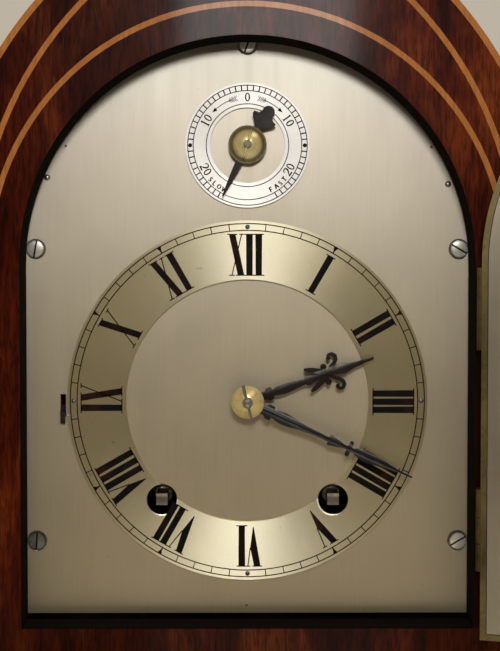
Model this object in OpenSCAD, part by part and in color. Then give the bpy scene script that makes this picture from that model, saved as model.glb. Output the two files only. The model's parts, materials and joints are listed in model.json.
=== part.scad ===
// A chiming bracket clock: pointed mahogany case, round-arched silvered dial, and a two-train
// movement that strikes on two coiled gongs. X runs to the right, the front faces -Y and Z is up.
// The origin is the middle of the plinth's underside, on the table. All lengths are in millimetres.

/* [Case] */
// Half width and arch radius of the dial opening
opening_r = 85.4; // [84:0.1:88]
// Height from the sill to where the arch springs
jamb_h = 137.6; // [134:0.1:150]
// Radius of the two arcs of the pointed arch
lancet_r = 149; // [147:1:154]
// Distance of each arc's centre from the middle line
lancet_offset = 33; // [30:1:34]
// Depth of the case above the plinth
case_depth = 152; // [150:1:170]
// Thickness of the front board
board_t = 14; // [12:0.5:15]
// Thickness of the bent carcase
wall = 9; // [7:0.5:11]
// Thickness of the back frame
back_t = 14; // [12:0.5:16]
// Half width and arch radius of the opening in the back
back_opening_r = 80; // [70:1:84]
// Thickness of the board that closes the bottom of the case
base_t = 6; // [4:0.5:8]
// Height of the plinth
plinth_h = 34; // [28:1:40]
// Distance that the plinth stands out from the case
plinth_out = 8; // [6:0.5:10]
// Thickness of the plinth's floor
plinth_floor = 8; // [5:0.5:10]

/* [Inlay] */
// Width of the two boxwood lines
line_w = 2.1; // [1:0.1:3]
// Depth to which the lines are let in
line_deep = 1.2; // [0.6:0.1:2]
// Distance from the opening's edge to the middle of the inner line
inner_line_gap = 11.6; // [9:0.1:13]
// Arc radius of the pointed line
pointed_line_r = 139.8; // [136:0.1:141]
// Distance of the pointed line's arc centres from the middle line
pointed_line_offset = 38.5; // [37:0.1:40]
// Height of the pointed line's foot above the plinth
pointed_line_foot = 14; // [8:1:24]
// Width of the boxwood edging at the front corner of the case
edging = 2.4; // [1:0.1:3]

/* [Dial] */
// Depth of the dial's face behind the front of the case
recess = 16; // [15.5:0.1:18]
// Thickness of the dial plate
dial_t = 1.6; // [1.2:0.1:2]
// Distance that the dial plate reaches behind the front board
dial_lap = 2.6; // [1:0.1:4]
// Gap between the dial plate's bottom edge and the sill
dial_sill_gap = 1.8; // [0.5:0.1:3]
// Depth of the hands' centre below the springing
centre_drop = 52.7; // [50:0.1:56]
// Outer radius of the chapter ring
chapter_r = 69.85; // [66:0.05:72]
// Inner radius of the chapter ring
chapter_bore_r = 47.1; // [45:0.1:50]
// Thickness of the chapter ring
chapter_t = 1.2; // [0.8:0.1:1.5]
// Height of the regulator's centre above the springing
regulator_rise = 46.1; // [45:0.1:48]
// Outer radius of the regulator ring
regulator_r = 24; // [20:0.1:26]
// Inner radius of the regulator ring
regulator_bore_r = 14.5; // [12:0.1:16]
// Thickness of the regulator ring
regulator_t = 1; // [0.6:0.1:1.4]
// Distance of each winding square from the middle line
winding_x = 33.3; // [33:0.1:34]
// Depth of the winding squares below the hands' centre
winding_drop = 38.4; // [38:0.1:40]
// Radius of a winding hole
winding_hole_r = 5.8; // [5:0.1:6.5]
// Width of a winding square across its flats
winding_square = 4.5; // [4:0.1:4.6]
// Radius of a dial screw's head
dial_screw_r = 3.4; // [2.5:0.1:3.6]
// Distance of the side screws from the middle line
dial_screw_x = 82; // [80:0.1:83]
// Height of the upper side screws above the springing
dial_screw_up = 6.1; // [0:0.1:10]
// Depth of the lower side screws below the springing
dial_screw_down = 107.4; // [95:0.1:115]
// Length of the strike and silent slot
slot_l = 8.8; // [8:0.1:10]
// Width of the strike and silent slot
slot_w = 2.2; // [1.6:0.1:3]
// Distance of the slot from the middle line
slot_x = 71.6; // [71.4:0.1:73]

/* [Hands] */
// Direction of the hour hand, clockwise from twelve
hour_angle = 70.9; // [0:0.1:360]
// Direction of the minute hand, clockwise from twelve
minute_angle = 114.6; // [0:0.1:360]
// Direction of the regulator hand, clockwise from the top
regulator_angle = 206; // [200:1:210]
// Thickness of a hand
hand_t = 1; // [0.8:0.1:1.2]
// Gap between the chapter ring and the hour hand
hand_gap = 2; // [1.6:0.1:2.2]
// Gap between the two hands
hand_step = 2.4; // [2:0.1:2.6]
// Radius of the domed collet over the hands
collet_r = 6.35; // [5.5:0.05:7]

/* [Front door] */
// Angle at which the door stands open
door_angle = 164; // [100:1:168]
// Distance that the door laps over the edge of the opening
door_lap = 0.7; // [0.5:0.1:0.8]
// Distance that the door laps over the sill
door_sill_lap = 1.8; // [0.7:0.1:2.5]
// Width of the door's brass frame
door_frame_w = 9.5; // [8:0.1:12]
// Thickness of the door
door_t = 4.4; // [4:0.1:5]
// Width of the rim round the glass band
door_rim = 2.2; // [1.8:0.1:3]
// Thickness of the door's glass
door_glass_t = 1.6; // [1:0.1:2]
// Radius of a hinge knuckle
knuckle_r = 1.5; // [1.3:0.1:1.7]
// Length of a front hinge
hinge_l = 30.6; // [24:0.1:36]
// Depth of the upper hinge's top below the springing
upper_hinge_drop = 1.4; // [0.5:0.1:6]
// Depth of the lower hinge's top below the springing
lower_hinge_drop = 84; // [76:0.5:90]

/* [Back door] */
// Width of the back door's wooden frame
back_door_w = 16; // [12:0.5:20]
// Thickness of the back door
back_door_t = 12; // [10:0.5:13]
// Gap round the back door
back_door_gap = 0.8; // [0.7:0.1:1]
// Length of a back hinge
back_hinge_l = 34; // [28:1:40]

/* [Movement] */
// Width of the movement plates
plate_w = 118; // [114:1:124]
// Height of the plates above the hands' centre
plate_up = 69; // [67:0.5:72]
// Height of the plates below the hands' centre
plate_down = 72; // [70:1:76]
// Thickness of a plate
plate_t = 3; // [2.4:0.1:3.6]
// Space between the dial and the front plate, which holds the motion work
motion_gap = 14; // [13.6:0.1:15]
// Space between the plates
plate_gap = 46; // [45:0.5:50]
// Radius of a wheel's arbor
arbor_r = 1.3; // [1:0.1:1.6]
// Radius of the pivots
pivot_r = 0.8; // [0.6:0.1:1]
// Running clearance of a shaft in its hole
running = 0.05; // [0.02:0.01:0.08]
// Radius of the snail at its step for one o'clock
snail_r = 18.5; // [17:0.1:19]
// Height of each step of the snail
snail_step = 1.05; // [0.8:0.05:1.1]
// Radius of the rack's teeth about its stud
rack_r = 40; // [34:1:42]
// Radius of a barrel
barrel_r = 24; // [20:0.5:25]
// Length of a barrel
barrel_l = 24; // [18:1:26]
// Thickness of a wheel
wheel_t = 1.5; // [1:0.1:1.8]
// Height of the seat board that carries the movement
seat_t = 8; // [6:1:10]

/* [Pendulum] */
// Height of the pendulum's pivot above the hands' centre
suspension_up = 57.5; // [57:0.1:58]
// Length of the pendulum from its pivot to the middle of the bob
pendulum_l = 172.6; // [165:0.1:173]
// Radius of the bob
bob_r = 19; // [15:0.5:20]
// Thickness of the bob
bob_t = 9; // [7:0.5:9.5]
// Length of the suspension spring
suspension_l = 11; // [9:0.5:13]
// Radius of the pendulum rod
rod_r = 1.3; // [1:0.1:1.6]
// Length of the rod below the bob, with the thread of the rating nut
rod_tail = 9; // [8:0.5:12]
// Gap between the end of the rod and the floor of the case
rod_floor_gap = 3.8; // [3:0.1:12]
// Rise of the pendulum over the whole turn of the regulator hand
rise = 4; // [2:0.5:4]

/* [Gongs] */
// Radius of a coiled gong
gong_r = 40; // [32:1:42]
// Turns of a coiled gong
gong_turns = 4; // [2:1:5]
// Thickness of the gong wire, measured across the coil
gong_w = 2.2; // [1.6:0.1:2.6]
// Height of the gongs' centre above the floor of the case
gong_up = 92; // [86:1:96]
// Distance between the planes of the two gongs
gong_step = 8; // [7:0.5:9]

/* [Hidden] */
$fn = 64;
case_z = plinth_h;
base_top = case_z + base_t;
// The pendulum's length sets how high the dial stands
pendulum_z = base_top + rod_floor_gap + rod_tail + bob_r + pendulum_l;
centre_z = pendulum_z - suspension_up;
spring_z = centre_z + centre_drop;
sill_z = spring_z - jamb_h;
gong_z = base_top + gong_up;
regulator_z = spring_z + regulator_rise;
front_y = -case_depth / 2;
back_y = case_depth / 2;
case_hw = lancet_r - lancet_offset;
inside_hw = case_hw - wall;
back_frame_y = back_y - back_t;

// Planes of the dial and the hands, from the back to the front
dial_y = front_y + recess;
dial_back_y = dial_y + dial_t;
hour_hand_y = dial_y - chapter_t - hand_gap - hand_t;
minute_hand_y = hour_hand_y - hand_step - hand_t;
collet_h = 2.6;
collet_y = minute_hand_y - collet_h;
arbor_end_y = collet_y - 1.6;
dial_hw = opening_r + dial_lap;
dial_low = sill_z + dial_sill_gap;
regulator_hand_y = dial_y - regulator_t - 1.4 - hand_t;
regulator_collet_r = 7.35;
regulator_end_r = 1.4;
arbor_front_r = 1.5;
slot_z = centre_z - 1.8;
lever_tip_l = 2;

// Planes of the movement, from the front to the back
front_plate_y = dial_back_y + motion_gap;
inside_y = front_plate_y + plate_t;
back_plate_y = inside_y + plate_gap;
plates_end_y = back_plate_y + plate_t;
plate_top = centre_z + plate_up;
plate_low = centre_z - plate_down;
seat_y = front_plate_y - 1;

// Teeth: a module is a tooth's share of the diameter
great_m = 0.7;
great_n = 84;
second_pinion_n = 10;
second_m = 0.6;
second_n = 72;
centre_pinion_n = 12;
centre_m = 0.48;
centre_n = 96;
third_m = 0.45;
third_n = 80;
leaves = 8;
motion_m = 0.6;
motion_n = 39;
hour_m = 0.45;
hour_n = 96;
pin_m = 0.5;
pin_n = 64;
escape_n = 36;
escape_r = 15;
depthing = 0.06;
function mesh(m, a, b) = m * (a + b) / 2 + depthing;

// Where two circles meet: centres p and q, radii a and b, on the side that side picks
function meet(p, q, a, b, side) =
    let (d = norm(q - p), u = (q - p) / d, s = (a * a - b * b + d * d) / (2 * d))
    p + s * u + side * sqrt(a * a - s * s) * [-u[1], u[0]];
function direction(p, q) = atan2(q[1] - p[1], q[0] - p[0]);
function polar(r, a) = [r * cos(a), r * sin(a)];
// The angle of wheel b's first tooth that lets it gear with wheel a across the direction toward b
function in_mesh(toward, phase_a, a, b) = toward + 180 + (toward - phase_a) * a / b + 180 / b;

centre = [0, centre_z];
going_barrel_at = [winding_x, centre_z - winding_drop];
strike_barrel_at = [-winding_x, centre_z - winding_drop];
to_second = mesh(second_m, second_n, centre_pinion_n);
barrel_to_second = mesh(great_m, great_n, second_pinion_n);
second_at = meet(centre, going_barrel_at, to_second, barrel_to_second, 1);
strike_second_at = meet(centre, strike_barrel_at, to_second, barrel_to_second, -1);
escape_up = 36;
escape_at = [0, centre_z + escape_up];
third_at = meet(centre, escape_at, mesh(centre_m, centre_n, leaves), mesh(third_m, third_n, leaves), -1);
anchor_at = [0, pendulum_z];
pin_wheel_at = strike_second_at + polar(to_second, 95);
fly_at = pin_wheel_at + polar(mesh(pin_m, pin_n, leaves), 70);
minute_wheel_at = centre + polar(mesh(motion_m, motion_n, motion_n), 225);
hammer_at = [[-52, centre_z - 2], [-52, centre_z + 12]];

// First tooth of each wheel, so that every pair gears at rest
centre_phase = 0;
centre_pinion_phase = 0;
third_pinion_phase = in_mesh(direction(centre, third_at), centre_phase, centre_n, leaves);
third_phase = 0;
escape_pinion_phase = in_mesh(direction(third_at, escape_at), third_phase, third_n, leaves);
second_phase = in_mesh(direction(centre, second_at), centre_pinion_phase, centre_pinion_n, second_n);
second_pinion_phase = 0;
great_phase = in_mesh(direction(second_at, going_barrel_at), second_pinion_phase, second_pinion_n, great_n);
strike_great_phase = in_mesh(direction(strike_second_at, strike_barrel_at), 0, second_pinion_n, great_n);
pin_pinion_phase = in_mesh(direction(strike_second_at, pin_wheel_at), 0, second_n, centre_pinion_n);
fly_pinion_phase = in_mesh(direction(pin_wheel_at, fly_at), 0, pin_n, leaves);
minute_wheel_phase = in_mesh(direction(centre, minute_wheel_at), 0, motion_n, motion_n);
hour_phase = in_mesh(direction(minute_wheel_at, centre), 0, leaves, hour_n);

// Planes of the wheels, behind the front plate
centre_wheel_y = inside_y + 2;
great_y = inside_y + 6;
great_t = 2.6;
barrel_y = great_y + great_t;
third_wheel_y = inside_y + 13;
pin_wheel_y = inside_y + 18;
escape_y = inside_y + 30;
second_y = barrel_y + barrel_l + 2;
strike_second_y = second_y + 4;
fly_y = inside_y + 2.5;

// Planes of the motion work, before the front plate
cannon_y = front_plate_y - 3.2;
bridge_y = cannon_y - 3.6;
bridge_t = 1.6;
hour_wheel_y = bridge_y - 2.6;
snail_y = hour_wheel_y - 1.8;
ratchet_y = front_plate_y - 3;
cannon_pipe_r = 2.2;
winder_pivot_r = 3.2;
stud_r = 1;
minute_stud_r = 0.7;
ratchet_n = 24;
ratchet_r = 9.5;
ratchet_t = 2.2;
// Where the rack's tail meets the snail, and where the rack is pivoted
rack_side = 150;
rack_tail_l = 34;
rack_tip_r = 0.8;
rack_clear = 0.7;
rack_tip = centre + polar(snail_r + rack_tip_r + rack_clear, rack_side);
rack_pivot = rack_tip + polar(rack_tail_l, rack_side + 90);
rack_t = 1.4;
rack_teeth = 14;
// Where the click's nose meets the ratchet, and where the click is pivoted
click_side = -45;
click_pivot = polar(16, -80);
bridge_pipe_r = 3;
hour_pipe_r = 3.9;

// Planes behind the back plate
crutch_y = plates_end_y + 1;
cock_t = 3;
slide_y = plates_end_y + 5;
slide_t = 2;
slide_hw = 5;
cam_y = slide_y + slide_t + 1;
cam_t = 3;
cam_r = 7;
pendulum_y = slide_y + slide_t + 4.5;
gong_y = pendulum_y + 12;
gong_t = 2.4;
gong_x = 6;
gong_eye = 9;
gong_pitch = (gong_r - gong_eye) / gong_turns;
gong_less = 0.6;
hammer_gap = 1.4;
block_h = 20;
regulator_arbor_r = 2;
regulator_span = 320;
regulator_rest = regulator_angle - 200;
rise_per_degree = rise / regulator_span;

// The front door's hinge line, and the door when it is closed
door_gap = 0.4;
door_hw = opening_r + door_lap;
door_low = sill_z - door_sill_lap;
hinge_x = door_hw + 0.6;
hinge_y = front_y - door_gap - door_t - 0.2;
door_y = front_y - door_gap - door_t;
pin_r = 0.8;
front_hinge_tops = [spring_z - upper_hinge_drop, spring_z - lower_hinge_drop];

// The back door's hinge line
back_door_r = back_opening_r - back_door_gap;
back_sill = base_top + 14;
back_door_low = back_sill + back_door_gap;
back_hinge_x = back_door_r + 0.3;
back_knuckle_r = 1.7;
back_hinge_y = back_y + back_knuckle_r + 0.5;
back_hinge_tops = [spring_z - 20, back_sill + 30 + back_hinge_l];
catch_r = 2.5;
leaf_t = 0.9;

mahogany = [0.36, 0.13, 0.07];
boxwood = [0.80, 0.56, 0.28];
silvered = [0.74, 0.70, 0.60];
brass = [0.80, 0.65, 0.32];
steel = [0.60, 0.61, 0.63];
blued = [0.10, 0.11, 0.14];
iron = [0.16, 0.16, 0.17];
glass = [0.75, 0.85, 0.85, 0.35];

// Basic forms

// A profile drawn as seen from the front, made t thick from the plane y backwards
module slab(y, t) {
    translate([0, y + t, 0]) rotate([90, 0, 0]) linear_extrude(t) children();
}

// A round bar that runs from the plane y backwards
module bar(at, y, r, l) {
    translate([at[0], y + l, at[1]]) rotate([90, 0, 0]) cylinder(r = r, h = l);
}

// A shape turned about a line that runs backwards: points give radius and distance from the plane y
module turned(at, y, points) {
    translate([at[0], y, at[1]]) rotate([-90, 0, 0]) rotate_extrude() polygon(points);
}

// A square bar that runs from the plane y backwards
module square_bar(at, y, w, l) {
    translate([at[0] - w / 2, y, at[1] - w / 2]) cube([w, l, w]);
}

// Round-arched outline with its foot at low
module round_arch(r, low) {
    intersection() {
        translate([0, spring_z]) circle(r, $fn = 128);
        translate([-r, spring_z]) square([2 * r, r]);
    }
    translate([-r, low]) square([2 * r, spring_z - low]);
}

// Pointed outline of arcs of radius r about centres off from the middle line
module pointed_arch(r, off, low) {
    hw = r - off;
    intersection() {
        translate([off, spring_z]) circle(r, $fn = 180);
        translate([-off, spring_z]) circle(r, $fn = 180);
        translate([-hw, spring_z]) square([2 * hw, r]);
    }
    translate([-hw, low]) square([2 * hw, spring_z - low]);
}

// A round-arched frame whose section, given as [inwards, backwards], runs round all four sides
module arched_frame(hw, low, y, w) {
    translate([0, y, spring_z]) rotate([90, 0, 0]) rotate_extrude(angle = 180, $fn = 128)
        translate([hw, 0]) rotate(180) children();
    for (s = [0, 1]) mirror([s, 0, 0]) intersection() {
        translate([hw, y, low]) linear_extrude(spring_z - low) mirror([1, 0]) children();
        slab(y - 1, w + 2)
            polygon([[hw, low], [hw, spring_z], [hw - w, spring_z], [hw - w, low + w]]);
    }
    intersection() {
        translate([-hw, y, low]) rotate([90, 0, 90]) linear_extrude(2 * hw) mirror([1, -1]) children();
        slab(y - 1, w + 2) polygon([[-hw, low], [hw, low], [hw - w, low + w], [w - hw, low + w]]);
    }
}

// Teeth. Half widths are shares of the pitch, heights are in modules
wheel_tooth = [[-0.25, -1.25], [-0.21, 0], [-0.07, 1.05], [0.07, 1.05], [0.21, 0], [0.25, -1.25]];
pinion_leaf = [[-0.17, -1.45], [-0.15, 0], [-0.08, 0.75], [0.08, 0.75], [0.15, 0], [0.17, -1.45]];
module teeth(m, n, phase, tooth) {
    polygon([for (i = [0 : n - 1], p = tooth) polar(m * (n / 2 + p[1]), phase + (i + p[0]) * 360 / n)]);
}

// A crossed-out wheel at a plane, with a collet at its middle
module wheel(at, y, t, m, n, phase, bore_r, spokes = 4) {
    root_r = m * (n / 2 - 1.25);
    rim_r = root_r - 1.7;
    hub_r = max(3.2, bore_r + 1.4);
    slab(y, t) translate(at) difference() {
        teeth(m, n, phase, wheel_tooth);
        if (rim_r > hub_r + 3) for (k = [0 : spokes - 1]) rotate(k * 360 / spokes + phase)
            intersection() {
                difference() {
                    circle(rim_r);
                    circle(hub_r);
                }
                spoke_window(rim_r, 360 / spokes, 1.1);
            }
        if (bore_r > 0) circle(bore_r);
    }
}

// The wedge between two spokes, each of half width hw
module spoke_window(r, angle, hw) {
    corner = hw / sin(angle / 2);
    translate(polar(corner, angle / 2))
        polygon([[0, 0], polar(2 * r, 0), polar(3 * r, angle / 2), polar(2 * r, angle)]);
}

module pinion(at, y, l, m, n, phase) {
    slab(y, l) translate(at) teeth(m, n, phase, pinion_leaf);
}

// An arbor between the plates with a pivot at each end
module arbor(at) {
    bar(at, inside_y + 0.3, arbor_r, plate_gap - 0.6);
    bar(at, front_plate_y, pivot_r, plate_gap + 2 * plate_t);
}

// Case

module front_board() {
    color(mahogany) difference() {
        slab(front_y, board_t) difference() {
            pointed_arch(lancet_r, lancet_offset, case_z);
            round_arch(opening_r, sill_z);
        }
        inlay_bodies();
    }
}

module inlay_bodies() {
    half = line_w / 2;
    inner = opening_r + inner_line_gap;
    inner_low = sill_z - inner_line_gap;
    pointed_low = case_z + pointed_line_foot;
    slab(front_y, line_deep) difference() {
        round_arch(inner + half, inner_low - half);
        round_arch(inner - half, inner_low + half);
    }
    slab(front_y, line_deep) difference() {
        pointed_arch(pointed_line_r + half, pointed_line_offset, pointed_low - half);
        pointed_arch(pointed_line_r - half, pointed_line_offset, pointed_low + half);
    }
    slab(front_y, edging) difference() {
        pointed_arch(lancet_r, lancet_offset, case_z);
        pointed_arch(lancet_r - edging, lancet_offset, case_z - 1);
    }
}

module inlay_lines() {
    color(boxwood) inlay_bodies();
}

module carcase() {
    color(mahogany) slab(front_y + board_t, case_depth - board_t - back_t) difference() {
        pointed_arch(lancet_r, lancet_offset, case_z);
        pointed_arch(lancet_r - wall, lancet_offset, case_z - 1);
    }
}

module base_board() {
    color(mahogany) translate([-inside_hw, front_y + board_t, case_z])
        cube([2 * inside_hw, case_depth - board_t - back_t, base_t]);
}

// Section of the plinth: a tall band, a hollow and a thin upper fillet
module plinth_section(hw) {
    hollow_r = plinth_out - 3;
    band_h = plinth_h - hollow_r - 3;
    difference() {
        union() {
            translate([-hw, 0]) square([2 * hw, band_h]);
            translate([3 - hw, 0]) square([2 * hw - 6, plinth_h]);
            translate([1.5 - hw, 0]) square([2 * hw - 3, band_h + 1.5]);
        }
        for (s = [-1, 1]) translate([s * (hw - 3), band_h + 1.5 + hollow_r]) circle(hollow_r);
    }
    translate([-hw + 3, plinth_h - 1.5]) square([2 * hw - 6, 1.5]);
}

module plinth() {
    hw = case_hw + plinth_out;
    hd = case_depth / 2 + plinth_out;
    rail = plinth_out + wall + 4;
    color(mahogany) difference() {
        intersection() {
            translate([0, hd, 0]) rotate([90, 0, 0]) linear_extrude(2 * hd) plinth_section(hw);
            translate([-hw, 0, 0]) rotate([90, 0, 90]) linear_extrude(2 * hw) plinth_section(hd);
        }
        translate([rail - hw, rail - hd, plinth_floor]) cube([2 * (hw - rail), 2 * (hd - rail), plinth_h]);
    }
}

module back_frame() {
    color(mahogany) slab(back_frame_y, back_t) difference() {
        pointed_arch(lancet_r, lancet_offset, case_z);
        round_arch(back_opening_r, back_sill);
    }
}

// The wooden fillet that the dial is screwed to, fixed to the carcase behind the dial
module dial_fillet() {
    fillet_t = 10;
    color(mahogany) difference() {
        slab(dial_back_y, fillet_t) difference() {
            pointed_arch(lancet_r - wall, lancet_offset, dial_low - 10);
            round_arch(dial_screw_x - 6, dial_low + 6);
        }
        for (p = dial_screw_places()) bar(p, dial_back_y - 1, 1.4, 8);
    }
}

// Back door

module back_door_frame() {
    rebate = 4;
    color(mahogany) difference() {
        arched_frame(back_door_r, back_door_low, back_y - back_door_t, back_door_w)
            back_door_section(rebate);
        bar([back_door_w / 2 - back_door_r, centre_z], back_y - back_door_t - 1, catch_r + running,
            back_door_t + 2);
    }
}

// Section of the back door: a flat frame with a rebate for the glass and a rounded sight edge
module back_door_section(rebate) {
    difference() {
        square([back_door_w, back_door_t]);
        translate([back_door_w - rebate, 0]) square([rebate, back_door_t - 4]);
        translate([back_door_w - 3, back_door_t - 3]) difference() {
            square(4);
            circle(3);
        }
    }
}

module back_door_glass() {
    edge = back_door_w - 4 + 0.2;
    color(glass) slab(back_y - 4 - 2.2, 2.2) round_arch(back_door_r - edge, back_door_low + edge);
}

// A turning catch: a knob on the door's face, its spindle, and a tongue that turns behind the jamb
module back_door_catch() {
    at = [back_door_w / 2 - back_door_r, centre_z];
    tongue_t = 2.6;
    tongue_y = back_frame_y - 0.4 - tongue_t;
    color(brass) {
        bar(at, tongue_y, catch_r, back_y - tongue_y);
        turned(at, back_y, [[0, 0], [4, 0], [3, 1.5], [2.4, 4], [4.6, 6], [5.4, 8.5], [4, 10.5], [0, 11]]);
        slab(tongue_y, tongue_t) translate(at) {
            translate([-3, 0]) square([6, 14]);
            circle(4);
        }
    }
}

// The turning half of a hinge, drawn about its own axis: the middle knuckle and its leaf
module hinge_moving(top, l, r, w, y, side) {
    third = l / 3;
    low = top - 2 * third + 0.2;
    difference() {
        union() {
            translate([0, 0, low]) cylinder(r = r, h = third - 0.4);
            translate([side > 0 ? 0 : -w, y, low]) cube([w, leaf_t, third - 0.4]);
            translate([side > 0 ? r + 0.6 : -w, y, top - l]) cube([w - r - 0.6, leaf_t, l]);
        }
        translate([0, 0, low - 1]) cylinder(r = pin_r + running, h = third + 2);
    }
}

// The standing half: two end knuckles with the pin through them, and a leaf
module hinge_standing(top, l, r, w, y, side) {
    third = l / 3;
    for (z = [top - l, top - third]) {
        translate([0, 0, z]) cylinder(r = r, h = third);
        translate([side > 0 ? 0 : -w, y, z]) cube([w, leaf_t, third]);
    }
    translate([0, 0, top - l]) cylinder(r = pin_r, h = l);
    translate([side > 0 ? r + 0.6 : -w, y, top - l]) cube([w - r - 0.6, leaf_t, l]);
}

module back_door_knuckles() {
    color(brass) for (top = back_hinge_tops) translate([back_hinge_x, back_hinge_y, 0])
        hinge_moving(top, back_hinge_l, back_knuckle_r, 11, back_y - back_hinge_y, -1);
}

module hinge_leaves() {
    color(brass) {
        for (top = back_hinge_tops) translate([back_hinge_x, back_hinge_y, 0])
            hinge_standing(top, back_hinge_l, back_knuckle_r, 11, back_y - back_hinge_y, 1);
        for (top = front_hinge_tops) front_hinge_standing(top);
    }
}

// The case half of a front hinge: end knuckles on a web that stands on the front board
module front_hinge_standing(top) {
    third = hinge_l / 3;
    web_t = 1.4;
    translate([hinge_x, hinge_y, 0]) {
        for (z = [top - hinge_l, top - third]) {
            translate([0, 0, z]) cylinder(r = knuckle_r, h = third);
            translate([-0.2, 0, z]) cube([web_t, front_y - hinge_y, third]);
        }
        translate([0, 0, top - hinge_l]) cylinder(r = pin_r, h = hinge_l);
        translate([-0.2, front_y - leaf_t - hinge_y, top - hinge_l]) cube([9, leaf_t, hinge_l]);
    }
}

// Front door. It is drawn closed and then turned open about its hinge line
module door_opened() {
    translate([hinge_x, hinge_y, 0]) rotate(door_angle) translate([-hinge_x, -hinge_y, 0]) children();
}

// Section of the door's frame: a rim of full depth and a thinner flange with a rounded front
module door_section() {
    round_r = 1.4;
    flange_t = 1.5;
    difference() {
        square([door_frame_w, door_t]);
        translate([door_rim, flange_t]) square([door_frame_w, door_t]);
        difference() {
            square(round_r);
            translate([round_r, round_r]) circle(round_r);
        }
        translate([door_frame_w - 1, 0]) difference() {
            square(1);
            translate([0, 1]) circle(1);
        }
    }
}

module front_door_frame() {
    cut_r = knuckle_r + 0.25;
    third = hinge_l / 3;
    color(brass) door_opened() difference() {
        arched_frame(door_hw, door_low, door_y, door_frame_w) door_section();
        for (top = front_hinge_tops) translate([hinge_x, hinge_y, 0]) {
            translate([0, 0, top - third]) cylinder(r = cut_r, h = third + 0.3);
            translate([0, 0, top - hinge_l - 0.3]) cylinder(r = cut_r, h = third + 0.3);
            translate([0, 0, top - 2 * third]) cylinder(r = knuckle_r, h = third);
        }
    }
}

module front_door_knuckles() {
    third = hinge_l / 3;
    color(brass) door_opened() for (top = front_hinge_tops) difference() {
        translate([hinge_x, hinge_y, top - 2 * third + 0.2]) cylinder(r = knuckle_r, h = third - 0.4);
        translate([hinge_x, hinge_y, top - hinge_l]) cylinder(r = pin_r + running, h = hinge_l);
    }
}

module front_door_glass() {
    inset = door_rim + 0.2;
    color(glass) door_opened() slab(door_y + 1.5, door_glass_t)
        round_arch(door_hw - inset, door_low + inset);
}

module front_door_band() {
    inset = door_rim + 0.25;
    color(silvered) door_opened()
        slab(door_y + 1.5 + door_glass_t, door_t - 1.5 - door_glass_t - 0.1) difference() {
            round_arch(door_hw - inset, door_low + inset);
            round_arch(door_hw - door_frame_w, door_low + door_frame_w);
        }
}

// Dial

function dial_screw_places() = [
    [-dial_screw_x, spring_z + dial_screw_up], [dial_screw_x, spring_z + dial_screw_up],
    [-dial_screw_x, spring_z - dial_screw_down], [dial_screw_x, spring_z - dial_screw_down],
    [0, spring_z + opening_r - 0.6]
];

module dial_plate() {
    color(silvered) slab(dial_y, dial_t) difference() {
        round_arch(dial_hw, dial_low);
        translate(centre) circle(hour_pipe_r + 0.6);
        for (x = [-1, 1]) translate([x * winding_x, centre_z - winding_drop]) circle(winding_hole_r);
        translate([0, regulator_z]) circle(regulator_arbor_r + 0.3);
        translate([-slot_x - slot_w / 2, slot_z - slot_l / 2]) square([slot_w, slot_l]);
        for (p = dial_screw_places()) translate(p) circle(1.6);
    }
}

module chapter_ring() {
    color(silvered) slab(dial_y - chapter_t, chapter_t) translate(centre) difference() {
        circle(chapter_r, $fn = 128);
        circle(chapter_bore_r, $fn = 128);
        for (x = [-1, 1]) translate([x * winding_x, -winding_drop]) circle(winding_hole_r);
    }
}

module regulator_ring() {
    color(silvered) slab(dial_y - regulator_t, regulator_t) translate([0, regulator_z]) difference() {
        circle(regulator_r, $fn = 96);
        circle(regulator_bore_r, $fn = 96);
    }
}

module dial_screws() {
    head_h = 1.3;
    turns = [10, 120, 4, 60, 20];
    color(steel) for (i = [0 : 4]) let (p = dial_screw_places()[i]) difference() {
        union() {
            bar(p, dial_y - head_h, dial_screw_r, head_h);
            bar(p, dial_y - head_h, 1.35, head_h + dial_t + 5);
        }
        translate([p[0], dial_y - head_h - 0.1, p[1]]) rotate([0, turns[i], 0])
            translate([-0.35, 0, -dial_screw_r - 1]) cube([0.7, 0.8, 2 * dial_screw_r + 2]);
    }
}

// The strike and silent lever: a strip behind the dial and a finger through the slot
module silent_lever() {
    strip_y = dial_back_y + 0.3;
    finger_z = slot_z - slot_l / 2 + 0.3;
    color(blued) {
        slab(strip_y, 1.2) translate([-slot_x, finger_z]) {
            translate([-3, -2]) square([6, lever_tip_l + 4]);
            translate([0, -1]) square([20, lever_tip_l + 2]);
        }
        translate([-slot_x - slot_w / 2 + 0.2, dial_y - 1.2, finger_z])
            cube([slot_w - 0.4, strip_y - dial_y + 1.6, lever_tip_l]);
        translate([-slot_x - slot_w / 2 + 0.2, dial_y - 1.8, finger_z - 2.8])
            cube([slot_w - 0.4, 0.9, lever_tip_l + 2.8]);
    }
}

// Hands. Each outline is drawn pointing to twelve

// An outline that is alike on both sides: pairs of distance along the hand and half width
module symmetric(pairs) {
    n = len(pairs) - 1;
    polygon(concat([for (p = pairs) [p[1], p[0]]], [for (i = [n : -1 : 0]) [-pairs[i][1], pairs[i][0]]]));
}

// A band along a line of [x, y, half width] points
module band(points) {
    n = len(points) - 1;
    function along(i) =
        let (a = points[max(i - 1, 0)], b = points[min(i + 1, n)], d = [b[0] - a[0], b[1] - a[1]])
        d / norm(d);
    function side(i, s) = [points[i][0] - s * points[i][2] * along(i)[1],
                           points[i][1] + s * points[i][2] * along(i)[0]];
    polygon(concat([for (i = [0 : n]) side(i, -1)], [for (i = [n : -1 : 0]) side(i, 1)]));
}

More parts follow.
